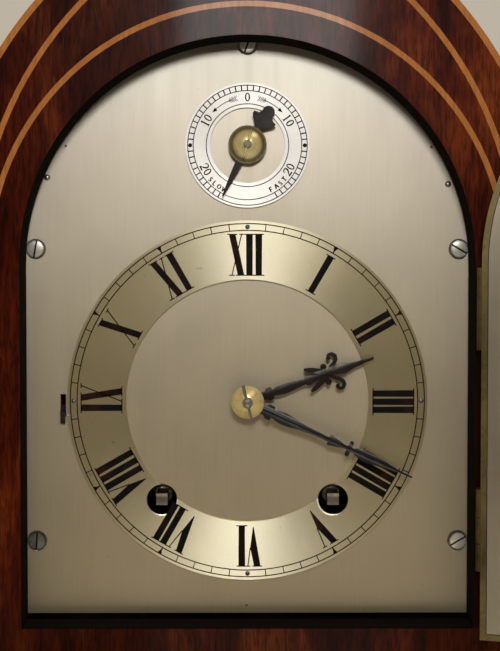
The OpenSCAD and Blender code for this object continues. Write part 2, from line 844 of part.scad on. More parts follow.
module hour_outline() {
    circle(5.6);
    symmetric([[4, 1.6], [7.6, 1.6], [8.3, 2.4], [10.1, 2.4], [10.6, 1.2], [12.2, 1.7], [15.1, 2.0],
        [18, 1.7], [23.5, 1.05], [24, 1.9], [25.2, 2.0], [28, 1.0], [33, 0.9], [35.5, 1.1],
        [39.2, 2.15], [43, 1.2], [48, 0.65], [51.2, 0.45], [51.6, 0]]);
    translate([0, 31.9]) circle(1.7);
    for (s = [0, 1]) mirror([s, 0]) {
        translate([3.1, 32]) circle(1.2);
        translate([0, 31.1]) square([3.1, 1.6]);
        band([[0.6, 31.6, 0.9], [2.2, 29.6, 1.05], [3.2, 27.6, 0.95], [3.9, 25.9, 0.85], [4.5, 24.5, 0.45]]);
        band([[0.7, 33, 0.6], [2.1, 34.7, 0.65], [3.2, 36.4, 0.7], [4.4, 37.5, 0.75], [5.8, 37.6, 0.75],
            [6.8, 36.7, 0.7], [6.9, 35.5, 0.65], [6.3, 34.8, 0.6]]);
        translate([5.7, 34.9]) circle(0.85);
    }
}

module minute_outline() {
    circle(5.6);
    symmetric([[4, 1.9], [7.4, 1.9], [8.3, 2.8], [10.3, 2.9], [10.8, 1.5], [12.4, 2.1], [15.5, 2.4],
        [19, 2.0], [22, 1.4], [26, 1.1], [34.1, 0.85], [34.3, 2.0], [35.2, 2.0], [40.6, 0.8], [44.5, 0.9],
        [46, 1.5], [49.3, 2.3], [52, 2.1], [60, 0.9], [64.4, 0.4], [69.3, 0.3], [69.6, 0]]);
    translate([-2.3, 42.1]) square([4.6, 1.6]);
    for (x = [-2.3, 2.3]) translate([x, 42.9]) circle(0.85);
}

// Round boss, plain pointer and spade tail of the regulator hand. The tail is a little bent
module regulator_outline() {
    circle(5.2);
    symmetric([[3, 1.35], [8, 1.35], [14, 0.95], [17, 0.7], [21.5, 0.25], [21.9, 0.25]]);
    rotate(173) {
        symmetric([[3, 1], [7.6, 1], [8, 2], [11.2, 4.9], [12.3, 4.9], [12.9, 3], [14.8, 2]]);
        translate([0, 14.8]) circle(2.4);
    }
}

// A hand's outline turned clockwise by an angle about its centre and given its thickness
module hand(at, y, angle, bore_r) {
    slab(y, hand_t) translate(at) difference() {
        rotate(-angle) children();
        circle(bore_r);
    }
}

module hour_hand() {
    color(blued) hand(centre, hour_hand_y, hour_angle, hour_pipe_r) hour_outline();
}

module minute_hand() {
    color(blued) hand(centre, minute_hand_y, minute_angle, cannon_pipe_r) minute_outline();
}

// A domed washer with a bore, its flat side on the plane y_back
module dome(at, y_back, r, h, bore_r) {
    big = (r * r + h * h) / (2 * h);
    difference() {
        intersection() {
            translate([at[0], y_back - h + big, at[1]]) sphere(big, $fn = 96);
            bar(at, y_back - h, r + 1, h);
        }
        bar(at, y_back - h - 1, bore_r, h + 2);
    }
}

module hand_collet() {
    color(brass) difference() {
        dome(centre, minute_hand_y, collet_r, collet_h, arbor_front_r);
        translate([0, collet_y - 0.1, centre_z]) rotate([-90, 0, 0])
            cylinder(r1 = arbor_front_r + 0.8, r2 = arbor_front_r, h = 1.2);
    }
}

// The taper pin that holds the hands on
module pin_body() {
    translate([0, arbor_end_y + 0.9, centre_z]) rotate([0, -14.5, 0]) translate([0, 0, -7])
        cylinder(r1 = 0.4, r2 = 0.6, h = 14);
}

module collet_pin() {
    color(steel) pin_body();
}

module regulator_hand() {
    color(blued) hand([0, regulator_z], regulator_hand_y, regulator_angle, regulator_arbor_r)
        regulator_outline();
}

// The domed collet that holds the regulator's hand
module regulator_collet() {
    at = [0, regulator_z];
    color(brass) dome(at, regulator_hand_y, regulator_collet_r, 2.3, regulator_end_r);
}

// The regulator's arbor, with a snail at its back that lifts the pendulum
module regulator_arbor() {
    at = [0, regulator_z];
    first = regulator_hand_y - 3.5;
    steps = 64;
    spread = regulator_span + 2 * 8;
    color(brass) {
        bar(at, first, regulator_end_r, regulator_hand_y - first + 0.1);
        bar(at, regulator_hand_y, regulator_arbor_r, cam_y + cam_t - regulator_hand_y);
        translate([0, first + 0.7, regulator_z]) rotate([0, 15.6, 0]) translate([0, 0, -5.8])
            cylinder(r = 0.45, h = 11.6);
        slab(cam_y, cam_t) translate(at) difference() {
            polygon([for (i = [0 : steps])
                let (a = i * spread / steps - 8 - regulator_rest)
                polar(cam_r + rise_per_degree * a, 90 + a)]);
        }
    }
}

// The cocks that carry the regulator's arbor: one behind the dial, one on the back plate
module brass_cocks() {
    at = [0, regulator_z];
    bore = regulator_arbor_r + running;
    color(brass) {
        difference() {
            union() {
                slab(dial_back_y + 5, 2.4) translate([-13, regulator_z - 4]) square([26, 8]);
                for (x = [-13, 9]) slab(dial_back_y, 5.2) translate([x, regulator_z - 4]) square([4, 8]);
            }
            bar(at, dial_back_y, bore, 10);
        }
        difference() {
            union() {
                slab(plates_end_y, cock_t) translate([-10, centre_z + 61.6])
                    square([20, regulator_z - centre_z - 61.6 + 8]);
                for (s = [0, 1], z = [plate_top + 3, regulator_z - 18.5]) mirror([s, 0, 0])
                    slide_keeper(z);
            }
            bar(at, plates_end_y - 1, bore, cock_t + 2);
        }
    }
}

// A hooked guide that holds one edge of the rise slide
module slide_keeper(z) {
    edge = slide_hw + running;
    deep = slide_y + slide_t + 0.8 - plates_end_y - cock_t;
    translate([edge, plates_end_y + cock_t - 0.2, z]) cube([10 - edge, deep + 0.2, 6]);
    translate([edge - 1.4, slide_y + slide_t + running, z]) cube([10 - edge + 1.4, 0.8 - running, 6]);
}

// The slide that hangs on the snail and carries the pendulum
module rise_slide() {
    follower_r = 1;
    follower_z = regulator_z + cam_r + follower_r + 0.15;
    low = anchor_at[1] - 3;
    color(steel) {
        slab(slide_y, slide_t) difference() {
            translate([-slide_hw, low]) square([2 * slide_hw, follower_z + 2.5 - low]);
            translate([-regulator_arbor_r - 0.6, regulator_z - rise - 3])
                square([2 * regulator_arbor_r + 1.2, rise + 6.2]);
        }
        bar([0, follower_z], slide_y + slide_t - 0.1, follower_r, cam_t + 1.6);
        bar(anchor_at, slide_y + slide_t - 0.1, 0.9, 6.4);
        bar(anchor_at, slide_y + slide_t + 6.2, 1.8, 1);
        bar(anchor_at, slide_y + slide_t - 0.1, 1.8, 2.1);
    }
}

// Pendulum

module pendulum_rod() {
    top_t = 3;
    x = anchor_at[0];
    z = anchor_at[1];
    bob_z = z - pendulum_l;
    strip_l = suspension_l;
    y = pendulum_y - top_t / 2;
    color(steel) {
        slab(y, top_t) translate(anchor_at) difference() {
            union() {
                circle(3);
                translate([-2.4, -5]) square([4.8, 5]);
            }
            circle(0.9 + running);
        }
        translate([x - 0.15, y + 0.2, z - 5 - strip_l]) cube([0.3, top_t - 0.4, strip_l + 0.2]);
        translate([x - 2.4, y, z - 5 - strip_l - 6]) cube([4.8, top_t, 6.2]);
        translate([x, pendulum_y, bob_z - bob_r - rod_tail])
            cylinder(r = rod_r, h = pendulum_l + bob_r + rod_tail - 5 - strip_l - 5);
    }
}

// A lens-shaped bob with a bore for the rod
module pendulum_bob() {
    bob_z = anchor_at[1] - pendulum_l;
    big = (bob_r * bob_r + bob_t * bob_t / 4) / bob_t;
    color(brass) difference() {
        intersection() {
            translate([0, pendulum_y + bob_t / 2 - big, bob_z]) sphere(big, $fn = 128);
            translate([0, pendulum_y - bob_t / 2 + big, bob_z]) sphere(big, $fn = 128);
            bar([0, bob_z], pendulum_y - bob_t, bob_r - 0.4, 2 * bob_t);
        }
        translate([0, pendulum_y, bob_z - 2 * bob_r]) cylinder(r = rod_r + running, h = 4 * bob_r);
    }
}

module rating_nut() {
    top = anchor_at[1] - pendulum_l - bob_r + 0.2;
    color(brass) translate([0, pendulum_y, top - 4]) difference() {
        union() {
            cylinder(r = 5, h = 2.6);
            cylinder(r = 2.8, h = 4);
        }
        translate([0, 0, -1]) cylinder(r = rod_r + running, h = 6);
    }
}

// Movement frame

pillar_inset = 5;
pillar_places = [for (x = [-1, 1], z = [-1, 1])
    [x * (plate_w / 2 - pillar_inset), z > 0 ? plate_top - pillar_inset : plate_low + pillar_inset]];

// The holes that both plates share, with the pivots' running clearance
module plate_outline() {
    difference() {
        translate([-plate_w / 2, plate_low]) square([plate_w, plate_up + plate_down]);
        for (p = concat([second_at, strike_second_at, third_at, escape_at, pin_wheel_at, fly_at], hammer_at))
            translate(p) circle(pivot_r + running);
        for (p = pillar_places) translate(p) circle(2.5);
        for (p = [going_barrel_at, strike_barrel_at]) translate(p) circle(winder_pivot_r + running);
    }
}
// The front plate, with the studs of the two clicks, the minute wheel and the rack
module front_plate() {
    head_t = 0.8;
    color(brass) {
        slab(front_plate_y, plate_t) difference() {
            plate_outline();
            translate(centre) circle(arbor_r + running);
            translate(anchor_at) circle(pivot_r + running);
        }
        for (s = [-1, 1]) {
            at = [s * (winding_x + click_pivot[0]), centre_z - winding_drop + click_pivot[1]];
            bar(at, ratchet_y - 0.2, stud_r, front_plate_y + 0.2 - ratchet_y + 0.2);
            bar(at, ratchet_y - 0.2 - head_t, 1.9, head_t);
        }
        bar(minute_wheel_at, hour_wheel_y - 1.2, minute_stud_r, front_plate_y + 0.2 - hour_wheel_y + 1.2);
        bar(rack_pivot, snail_y - 0.3, stud_r, front_plate_y + 0.2 - snail_y + 0.3);
        bar(rack_pivot, snail_y - 0.3 - head_t, 1.9, head_t);
    }
}

module back_plate() {
    color(brass) slab(back_plate_y, plate_t) difference() {
        plate_outline();
        translate(centre) circle(pivot_r + running);
        translate(anchor_at) circle(arbor_r + running);
    }
}

// Turned pillars with a collar at each end and a nut outside each plate
module pillars() {
    color(brass) for (p = pillar_places) {
        turned(p, inside_y, [[0, 0], [5, 0], [5, 2], [3.4, 3.4], [3.4, 5], [4.4, 6], [3.2, 7.4],
            [3.2, plate_gap - 7.4], [4.4, plate_gap - 6], [3.4, plate_gap - 5], [3.4, plate_gap - 3.4],
            [5, plate_gap - 2], [5, plate_gap], [0, plate_gap]]);
        bar(p, front_plate_y - 2.4, 2.5, plate_gap + 2 * plate_t + 4.8);
        for (y = [front_plate_y - 2.4, plates_end_y]) slab(y, 2.4) translate(p) circle(4.2, $fn = 6);
    }
}

module seat_board() {
    deep = plates_end_y + 1 - seat_y;
    color(mahogany) translate([-inside_hw, seat_y, plate_low - seat_t]) cube([2 * inside_hw, deep, seat_t]);
}

// Motion work

// The bridge over the cannon wheel, whose pipe carries the hour wheel
module motion_bridge() {
    half = 17;
    color(brass) difference() {
        union() {
            slab(bridge_y, bridge_t) translate(centre) rotate(-45) translate([-half, -4]) square([2 * half, 8]);
            for (s = [-1, 1]) slab(bridge_y, front_plate_y - bridge_y) translate(centre) rotate(-45)
                translate([s * (half - 2) - 2, -4]) square([4, 8]);
            bar(centre, hour_wheel_y - 6, bridge_pipe_r, bridge_y - hour_wheel_y + 6.2);
        }
        bar(centre, hour_wheel_y - 8, cannon_pipe_r + running, 20);
    }
}

module cannon_wheel() {
    color(brass) difference() {
        union() {
            wheel(centre, cannon_y, wheel_t, motion_m, motion_n, 0, 0);
            bar(centre, minute_hand_y, cannon_pipe_r, front_plate_y - 0.4 - minute_hand_y);
        }
        bar(centre, minute_hand_y - 1, arbor_front_r, 40);
    }
}

// The minute wheel turns on a stud in the front plate and carries the pinion of the hour wheel
module minute_wheel() {
    top = hour_wheel_y - 0.6;
    color(brass) difference() {
        union() {
            wheel(minute_wheel_at, cannon_y, wheel_t, motion_m, motion_n, minute_wheel_phase, 0);
            bar(minute_wheel_at, hour_wheel_y + 2, 2.6, cannon_y - hour_wheel_y);
            pinion(minute_wheel_at, top, 3, hour_m, leaves, 0);
            bar(minute_wheel_at, cannon_y, 3, front_plate_y - 0.3 - cannon_y);
        }
        bar(minute_wheel_at, top - 1, minute_stud_r + running, 20);
    }
}

// The hour wheel on its pipe, and the twelve-step snail of the strike on the wheel
module hour_wheel() {
    color(brass) difference() {
        union() {
            wheel(centre, hour_wheel_y, wheel_t, hour_m, hour_n, hour_phase, 0);
            bar(centre, hour_hand_y, hour_pipe_r, hour_wheel_y + 1 - hour_hand_y);
            slab(snail_y, 1.9) translate(centre)
                polygon([for (hour = [1 : 12], e = [-14.6, 14.6])
                    polar(snail_r - (hour - 1) * snail_step, rack_side + 30 * hour - hour_angle + e)]);
        }
        bar(centre, hour_hand_y - 1, bridge_pipe_r + running, 20);
    }
}

// Going train

module centre_arbor() {
    y = second_y - 1;
    color(steel) {
        difference() {
            bar(centre, arbor_end_y, arbor_front_r, front_plate_y - 0.2 - arbor_end_y);
            pin_body();
        }
        bar(centre, front_plate_y - 0.4, arbor_r, back_plate_y - 0.3 - front_plate_y + 0.4);
        bar(centre, back_plate_y - 1, pivot_r, plate_t + 1);
        pinion(centre, y, wheel_t + 2, second_m, centre_pinion_n, centre_pinion_phase);
        wheel(centre, centre_wheel_y, wheel_t, centre_m, centre_n, centre_phase, 0);
    }
}

module third_wheel() {
    color(brass) {
        arbor(third_at);
        pinion(third_at, centre_wheel_y - 1, wheel_t + 2, centre_m, leaves, third_pinion_phase);
        wheel(third_at, third_wheel_y, wheel_t, third_m, third_n, third_phase, 0);
    }
}

// The escape wheel, with pointed teeth that lean forwards
module escape_wheel() {
    pitch = 360 / escape_n;
    root = escape_r - 2.2;
    color(brass) {
        arbor(escape_at);
        pinion(escape_at, third_wheel_y - 1, wheel_t + 2, third_m, leaves, escape_pinion_phase);
        slab(escape_y, wheel_t) translate(escape_at) difference() {
            polygon([for (i = [0 : escape_n - 1], p = [[0, escape_r], [0.12, escape_r], [0.42, root], [0.92, root]])
                polar(p[1], (i + p[0]) * pitch)]);
            for (k = [0 : 3]) rotate(90 * k) intersection() {
                difference() {
                    circle(root - 1.6);
                    circle(3.2);
                }
                spoke_window(root, 90, 1);
            }
        }
    }
}

pallet_clear = 1.2;

// The anchor above the escape wheel, and the crutch that leads the pendulum behind the back plate
module anchor() {
    band_r = escape_r + pallet_clear;
    drop = anchor_at[1] - escape_at[1];
    crutch_l = 34;
    reach = 50;
    fork_gap = rod_r + 0.45;
    prong_y = crutch_y + 1.4;
    prong_end = pendulum_y + rod_r + 1;
    color(steel) {
        bar(anchor_at, inside_y + 0.3, arbor_r, crutch_y + 1.5 - inside_y - 0.3);
        bar(anchor_at, front_plate_y, pivot_r, 6);
        slab(escape_y - 0.6, wheel_t + 1.2) translate(escape_at) {
            difference() {
                intersection() {
                    circle(band_r + 4);
                    polygon([[0, 0], polar(60, 90 - reach), polar(60, 90 + reach)]);
                }
                circle(band_r + 1.4);
            }
            for (s = [-1, 1]) rotate(s * (reach - 5)) translate([-1, band_r]) square([2, 2.4]);
            translate([-2, band_r + 2]) square([4, drop - band_r]);
        }
        slab(crutch_y, 1.5) translate(anchor_at) {
            circle(3);
            translate([-1.2, -crutch_l]) square([2.4, crutch_l]);
            translate([-4, -crutch_l - 2]) square([8, 3]);
        }
        for (s = [-1, 1]) translate([s > 0 ? fork_gap : -fork_gap - 1.5, prong_y - 0.2, anchor_at[1] - crutch_l - 2])
            cube([1.5, prong_end - prong_y, 3]);
    }
}

module second_arbor(at, y, phase, pinion_phase) {
    arbor(at);
    pinion(at, great_y - 0.8, great_t + 1.6, great_m, second_pinion_n, pinion_phase);
    wheel(at, y, wheel_t, second_m, second_n, phase, 0);
}

module second_wheel() {
    color(brass) second_arbor(second_at, second_y, second_phase, second_pinion_phase);
}

// A spring barrel with its great wheel, bored to turn on the winding arbor
module barrel(at, phase) {
    difference() {
        union() {
            wheel(at, great_y, great_t, great_m, great_n, phase, 0, 0);
            bar(at, barrel_y - 0.1, barrel_r, barrel_l);
            bar(at, barrel_y, barrel_r + 0.8, 1.6);
            bar(at, barrel_y + barrel_l - 1.8, barrel_r + 0.8, 1.6);
        }
        bar(at, great_y - 1, winder_pivot_r + running, 60);
        bar(at, barrel_y + barrel_l - 0.8, barrel_r - 3, 2);
    }
}

module going_barrel() {
    color(brass) barrel(going_barrel_at, great_phase);
}

// Winding arbor: squared front end, ratchet before the front plate, and the arbor through the barrel
module winder(at, flip) {
    front = dial_y - 0.6;
    pitch = 360 / ratchet_n;
    bar(at, ratchet_y - 2, winder_pivot_r, plates_end_y - 0.2 - ratchet_y + 2);
    square_bar(at, front, winding_square, ratchet_y - front);
    slab(ratchet_y, ratchet_t) translate(at) mirror([flip, 0])
        polygon([for (i = [0 : ratchet_n - 1], p = [[0, ratchet_r], [0.06, ratchet_r - 1.5]])
            polar(p[1], click_side + (i + p[0]) * pitch - 0.3 * pitch)]);
}

module going_winder() {
    color(steel) winder(going_barrel_at, 0);
}

// A click: a pawl on a stud in the front plate, its nose just clear of the ratchet
module click(at, flip) {
    slab(ratchet_y, ratchet_t) translate(at) mirror([flip, 0]) difference() {
        union() {
            translate(click_pivot) circle(2.6);
            polygon([click_pivot + [-1.6, 2.2], click_pivot + [2.6, 1],
                polar(ratchet_r + 1.8, click_side + 8), polar(ratchet_r + 0.25, click_side - 4)]);
        }
        translate(click_pivot) circle(stud_r + running);
    }
}

module going_click() {
    color(steel) click(going_barrel_at, 0);
}

// Strike train

module strike_barrel() {
    color(brass) barrel(strike_barrel_at, strike_great_phase);
}

module strike_winder() {
    color(steel) winder(strike_barrel_at, 1);
}

module strike_click() {
    color(steel) click(strike_barrel_at, 1);
}

module strike_second_wheel() {
    color(brass) second_arbor(strike_second_at, strike_second_y, 0, 0);
}

// The rack, drawn held up clear of the snail. Its tail drops on the snail to count the hour
module strike_rack() {
    toward = direction(rack_pivot, rack_tip);
    first = toward + 36;
    pitch = 2.3;
    color(steel) {
        difference() {
            union() {
                slab(snail_y, rack_t) translate(rack_pivot) {
                    circle(3.4);
                    rotate(toward) polygon([[0, -1.3], [rack_tail_l, 0.1 - rack_tip_r],
                        [rack_tail_l, rack_tip_r - 0.1], [0, 1.3]]);
                    rotate(first + rack_teeth * pitch / 2) translate([0, -1.6]) square([rack_r - 4, 3.2]);
                    polygon(concat(
                        [for (i = [0 : rack_teeth - 1], e = [[0, 0], [0.8, -2], [1, -2]])
                            polar(rack_r + e[1], first + (i + e[0]) * pitch)],
                        [for (i = [rack_teeth : -1 : 0]) polar(rack_r - 6, first + i * pitch)]));
                }
                bar(rack_pivot, snail_y + rack_t - 0.1, 2.4, front_plate_y - 0.2 - snail_y - rack_t + 0.1);
            }
            bar(rack_pivot, snail_y - 1, stud_r + running, 20);
        }
        bar(rack_tip, snail_y - 0.4, rack_tip_r, rack_t + 0.4);
    }
}

// The pin wheel, whose pins lift the hammers
module pin_wheel() {
    pins = 8;
    color(brass) {
        arbor(pin_wheel_at);
        pinion(pin_wheel_at, strike_second_y - 1, wheel_t + 2, second_m, centre_pinion_n, pin_pinion_phase);
        wheel(pin_wheel_at, pin_wheel_y, wheel_t, pin_m, pin_n, 0, 0);
        for (k = [0 : pins - 1]) bar(pin_wheel_at + polar(13.2, k * 360 / pins), pin_wheel_y - 3, 0.6, 3.1);
    }
}

// The fly: two thin vanes that brake the strike train by the air
module fly() {
    color(brass) {
        arbor(fly_at);
        pinion(fly_at, pin_wheel_y - 1, wheel_t + 2, pin_m, leaves, fly_pinion_phase);
        bar(fly_at, fly_y - 0.8, 2.2, 13);
        translate([fly_at[0], fly_y, fly_at[1]]) rotate([0, 35, 0]) translate([-11, 0, -0.3]) cube([22, 11.4, 0.6]);
    }
}

// A hammer: its arbor between the plates, a tail by the pin wheel, a long arm and the striking head
module hammer(i) {
    at = hammer_at[i];
    plane = gong_y + i * gong_step;
    head_z = gong_z;
    face_x = gong_x - gong_r + gong_pitch / 2 + i * gong_less - hammer_gap;
    head_l = 9;
    arm_x = face_x - head_l / 2;
    tail_y = pin_wheel_y - 2.6;
    arbor(at);
    bar(at, plates_end_y - 0.2, pivot_r, 0.5);
    bar(at, plates_end_y + 0.15, arbor_r, plane + gong_t - plates_end_y - 0.25);
    bar(at, tail_y - 0.4, 2.2, 2.6);
    slab(tail_y, 1.8) translate(at) rotate(i == 0 ? 38 : 14) translate([0, -0.9]) square([i == 0 ? 16 : 11.4, 1.8]);
    slab(plane + 0.2, 2) {
        translate(at) circle(2.6);
        polygon([at + [-1.2, 0], at + [1.2, 0], [arm_x + 1, head_z], [arm_x - 1, head_z]]);
    }
    translate([face_x - head_l, plane + gong_t / 2, head_z]) rotate([0, 90, 0]) cylinder(r = 3.2, h = head_l);
}

module hammer_low() {
    color(brass) hammer(0);
}

module hammer_high() {
    color(brass) hammer(1);
}

// Gongs

// A flat coil of wire with a straight leg down to the block
module gong(y, r, turns) {
    pitch = (r - gong_eye) / turns;
    per_turn = 24;
    n = turns * per_turn;
    function place(i, out) = polar(gong_eye + pitch * i / per_turn + out - gong_w, i * 360 / per_turn);
    slab(y, gong_t) translate([gong_x, gong_z]) {
        polygon(concat([for (i = [0 : n]) place(i, gong_w)], [for (i = [n : -1 : 0]) place(i, 0)]));
        translate([r - gong_w, base_top + block_h - gong_z])
            square([gong_w, gong_z - base_top - block_h]);
    }
}

module gongs() {
    color(blued) {
        gong(gong_y, gong_r, gong_turns);
        gong(gong_y + gong_step, gong_r - gong_less, gong_turns);
    }
}

module gong_block() {
    color(iron) {
        translate([gong_x + gong_r - 14, gong_y - 3, base_top]) cube([24, gong_step + 9, block_h]);
        translate([gong_x + gong_r - 20, gong_y - 3, base_top]) cube([36, gong_step + 9, 5]);
    }
}

front_board();
inlay_lines();
carcase();
base_board();
plinth();
back_frame();
dial_fillet();
back_door_frame();
back_door_glass();
back_door_knuckles();
back_door_catch();
front_door_frame();
front_door_glass();
front_door_band();
front_door_knuckles();
hinge_leaves();
dial_plate();
chapter_ring();
regulator_ring();
dial_screws();
silent_lever();
hour_hand();
minute_hand();
hand_collet();
collet_pin();
regulator_hand();
regulator_collet();
regulator_arbor();
brass_cocks();
rise_slide();
pendulum_rod();
pendulum_bob();
rating_nut();
front_plate();
back_plate();
pillars();
seat_board();
motion_bridge();
cannon_wheel();
minute_wheel();
hour_wheel();
centre_arbor();
third_wheel();
escape_wheel();
anchor();
second_wheel();
going_barrel();
going_winder();
going_click();
strike_barrel();
strike_winder();
strike_click();
strike_second_wheel();
strike_rack();
pin_wheel();
fly();
hammer_low();
hammer_high();
gongs();
gong_block();
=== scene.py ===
"""Looks of the chiming bracket clock: materials, dial markings, small screws, lights and camera."""
import json
import math

import bmesh
import bpy
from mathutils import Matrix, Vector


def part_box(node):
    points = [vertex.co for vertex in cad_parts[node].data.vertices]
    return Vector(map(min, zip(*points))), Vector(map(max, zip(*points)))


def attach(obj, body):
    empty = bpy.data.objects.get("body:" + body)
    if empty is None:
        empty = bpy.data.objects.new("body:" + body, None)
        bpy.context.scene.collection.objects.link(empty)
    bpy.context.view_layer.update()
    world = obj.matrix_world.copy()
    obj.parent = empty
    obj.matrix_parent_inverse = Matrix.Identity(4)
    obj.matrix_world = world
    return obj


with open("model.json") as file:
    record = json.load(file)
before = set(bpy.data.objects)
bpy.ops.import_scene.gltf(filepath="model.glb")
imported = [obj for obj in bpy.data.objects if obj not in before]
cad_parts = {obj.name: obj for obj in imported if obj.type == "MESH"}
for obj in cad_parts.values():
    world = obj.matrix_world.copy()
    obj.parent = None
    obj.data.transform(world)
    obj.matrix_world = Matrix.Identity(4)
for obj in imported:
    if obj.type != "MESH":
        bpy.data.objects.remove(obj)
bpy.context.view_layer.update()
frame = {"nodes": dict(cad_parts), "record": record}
nodes = frame["nodes"]
MM = 0.001


def middle(node):
    """Middle of a node's box, in millimetres."""
    low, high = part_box(node)
    return [(low[i] + high[i]) / 2 / MM for i in range(3)]


def front_of(node):
    """The plane of a node's front face, in millimetres."""
    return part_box(node)[0][1] / MM


CENTRE_Z = middle("chapter_ring")[2]
REGULATOR_Z = middle("regulator_ring")[2]
SPRING_Z = CENTRE_Z + 52.7
DIAL_Y = front_of("dial_plate")
CHAPTER_Y = front_of("chapter_ring")
REGULATOR_Y = front_of("regulator_ring")

# The arched opening of the front board: its radius and its lower edge
OPENING = 85.4
SILL_Z = SPRING_Z - 137.72

# Where the hands point, clockwise from twelve
HOUR_ANGLE, MINUTE_ANGLE = 70.9, 114.6

# Winding holes and dial screws, as x, z
HOLE_R = 5.8
HOLES = [(x, CENTRE_Z - 38.4) for x in (-33.3, 33.3)]
SCREW_R = 3.4
SCREW_X, SCREW_UP, SCREW_DOWN = 82.0, 58.8, 54.7
SCREWS = [(x, CENTRE_Z + z) for x in (-SCREW_X, SCREW_X) for z in (SCREW_UP, -SCREW_DOWN)]
SCREWS.append((0.0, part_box("dial_screws")[1][2] / MM - SCREW_R))


# Materials

class Nodes:
    """A shader node tree with helpers."""

    def __init__(self, tree):
        self.tree = tree
        self.tree.nodes.clear()

    def link(self, a, b):
        self.tree.links.new(a, b)

    def node(self, kind, **inputs):
        n = self.tree.nodes.new(kind)
        for key, value in inputs.items():
            self.feed(n.inputs[key.replace("_", " ")], value)
        return n

    def feed(self, socket, value):
        """Gives a socket a link or a fixed value."""
        if isinstance(value, bpy.types.NodeSocket):
            self.link(value, socket)
        else:
            socket.default_value = value

    def ramp(self, value, stops):
        """A colour or grey ramp: stops are (position, colour or grey)."""
        r = self.node("ShaderNodeValToRGB", Fac=value)
        elements = r.color_ramp.elements
        while len(elements) < len(stops):
            elements.new(0.5)
        for e, (pos, c) in zip(elements, stops):
            e.position = pos
            e.color = (c, c, c, 1) if isinstance(c, (int, float)) else (*c, 1)
        return r.outputs["Color"]

    def mix(self, fac, a, b, how="MIX"):
        n = self.tree.nodes.new("ShaderNodeMix")
        n.data_type = "RGBA"
        n.blend_type = how
        self.feed(n.inputs[0], fac)
        for socket, value in ((n.inputs[6], a), (n.inputs[7], b)):
            self.feed(socket, (*value, 1) if isinstance(value, tuple) else value)
        return n.outputs[2]

    def math(self, how, a, b=0.0):
        n = self.tree.nodes.new("ShaderNodeMath")
        n.operation = how
        self.feed(n.inputs[0], a)
        self.feed(n.inputs[1], b)
        return n.outputs[0]


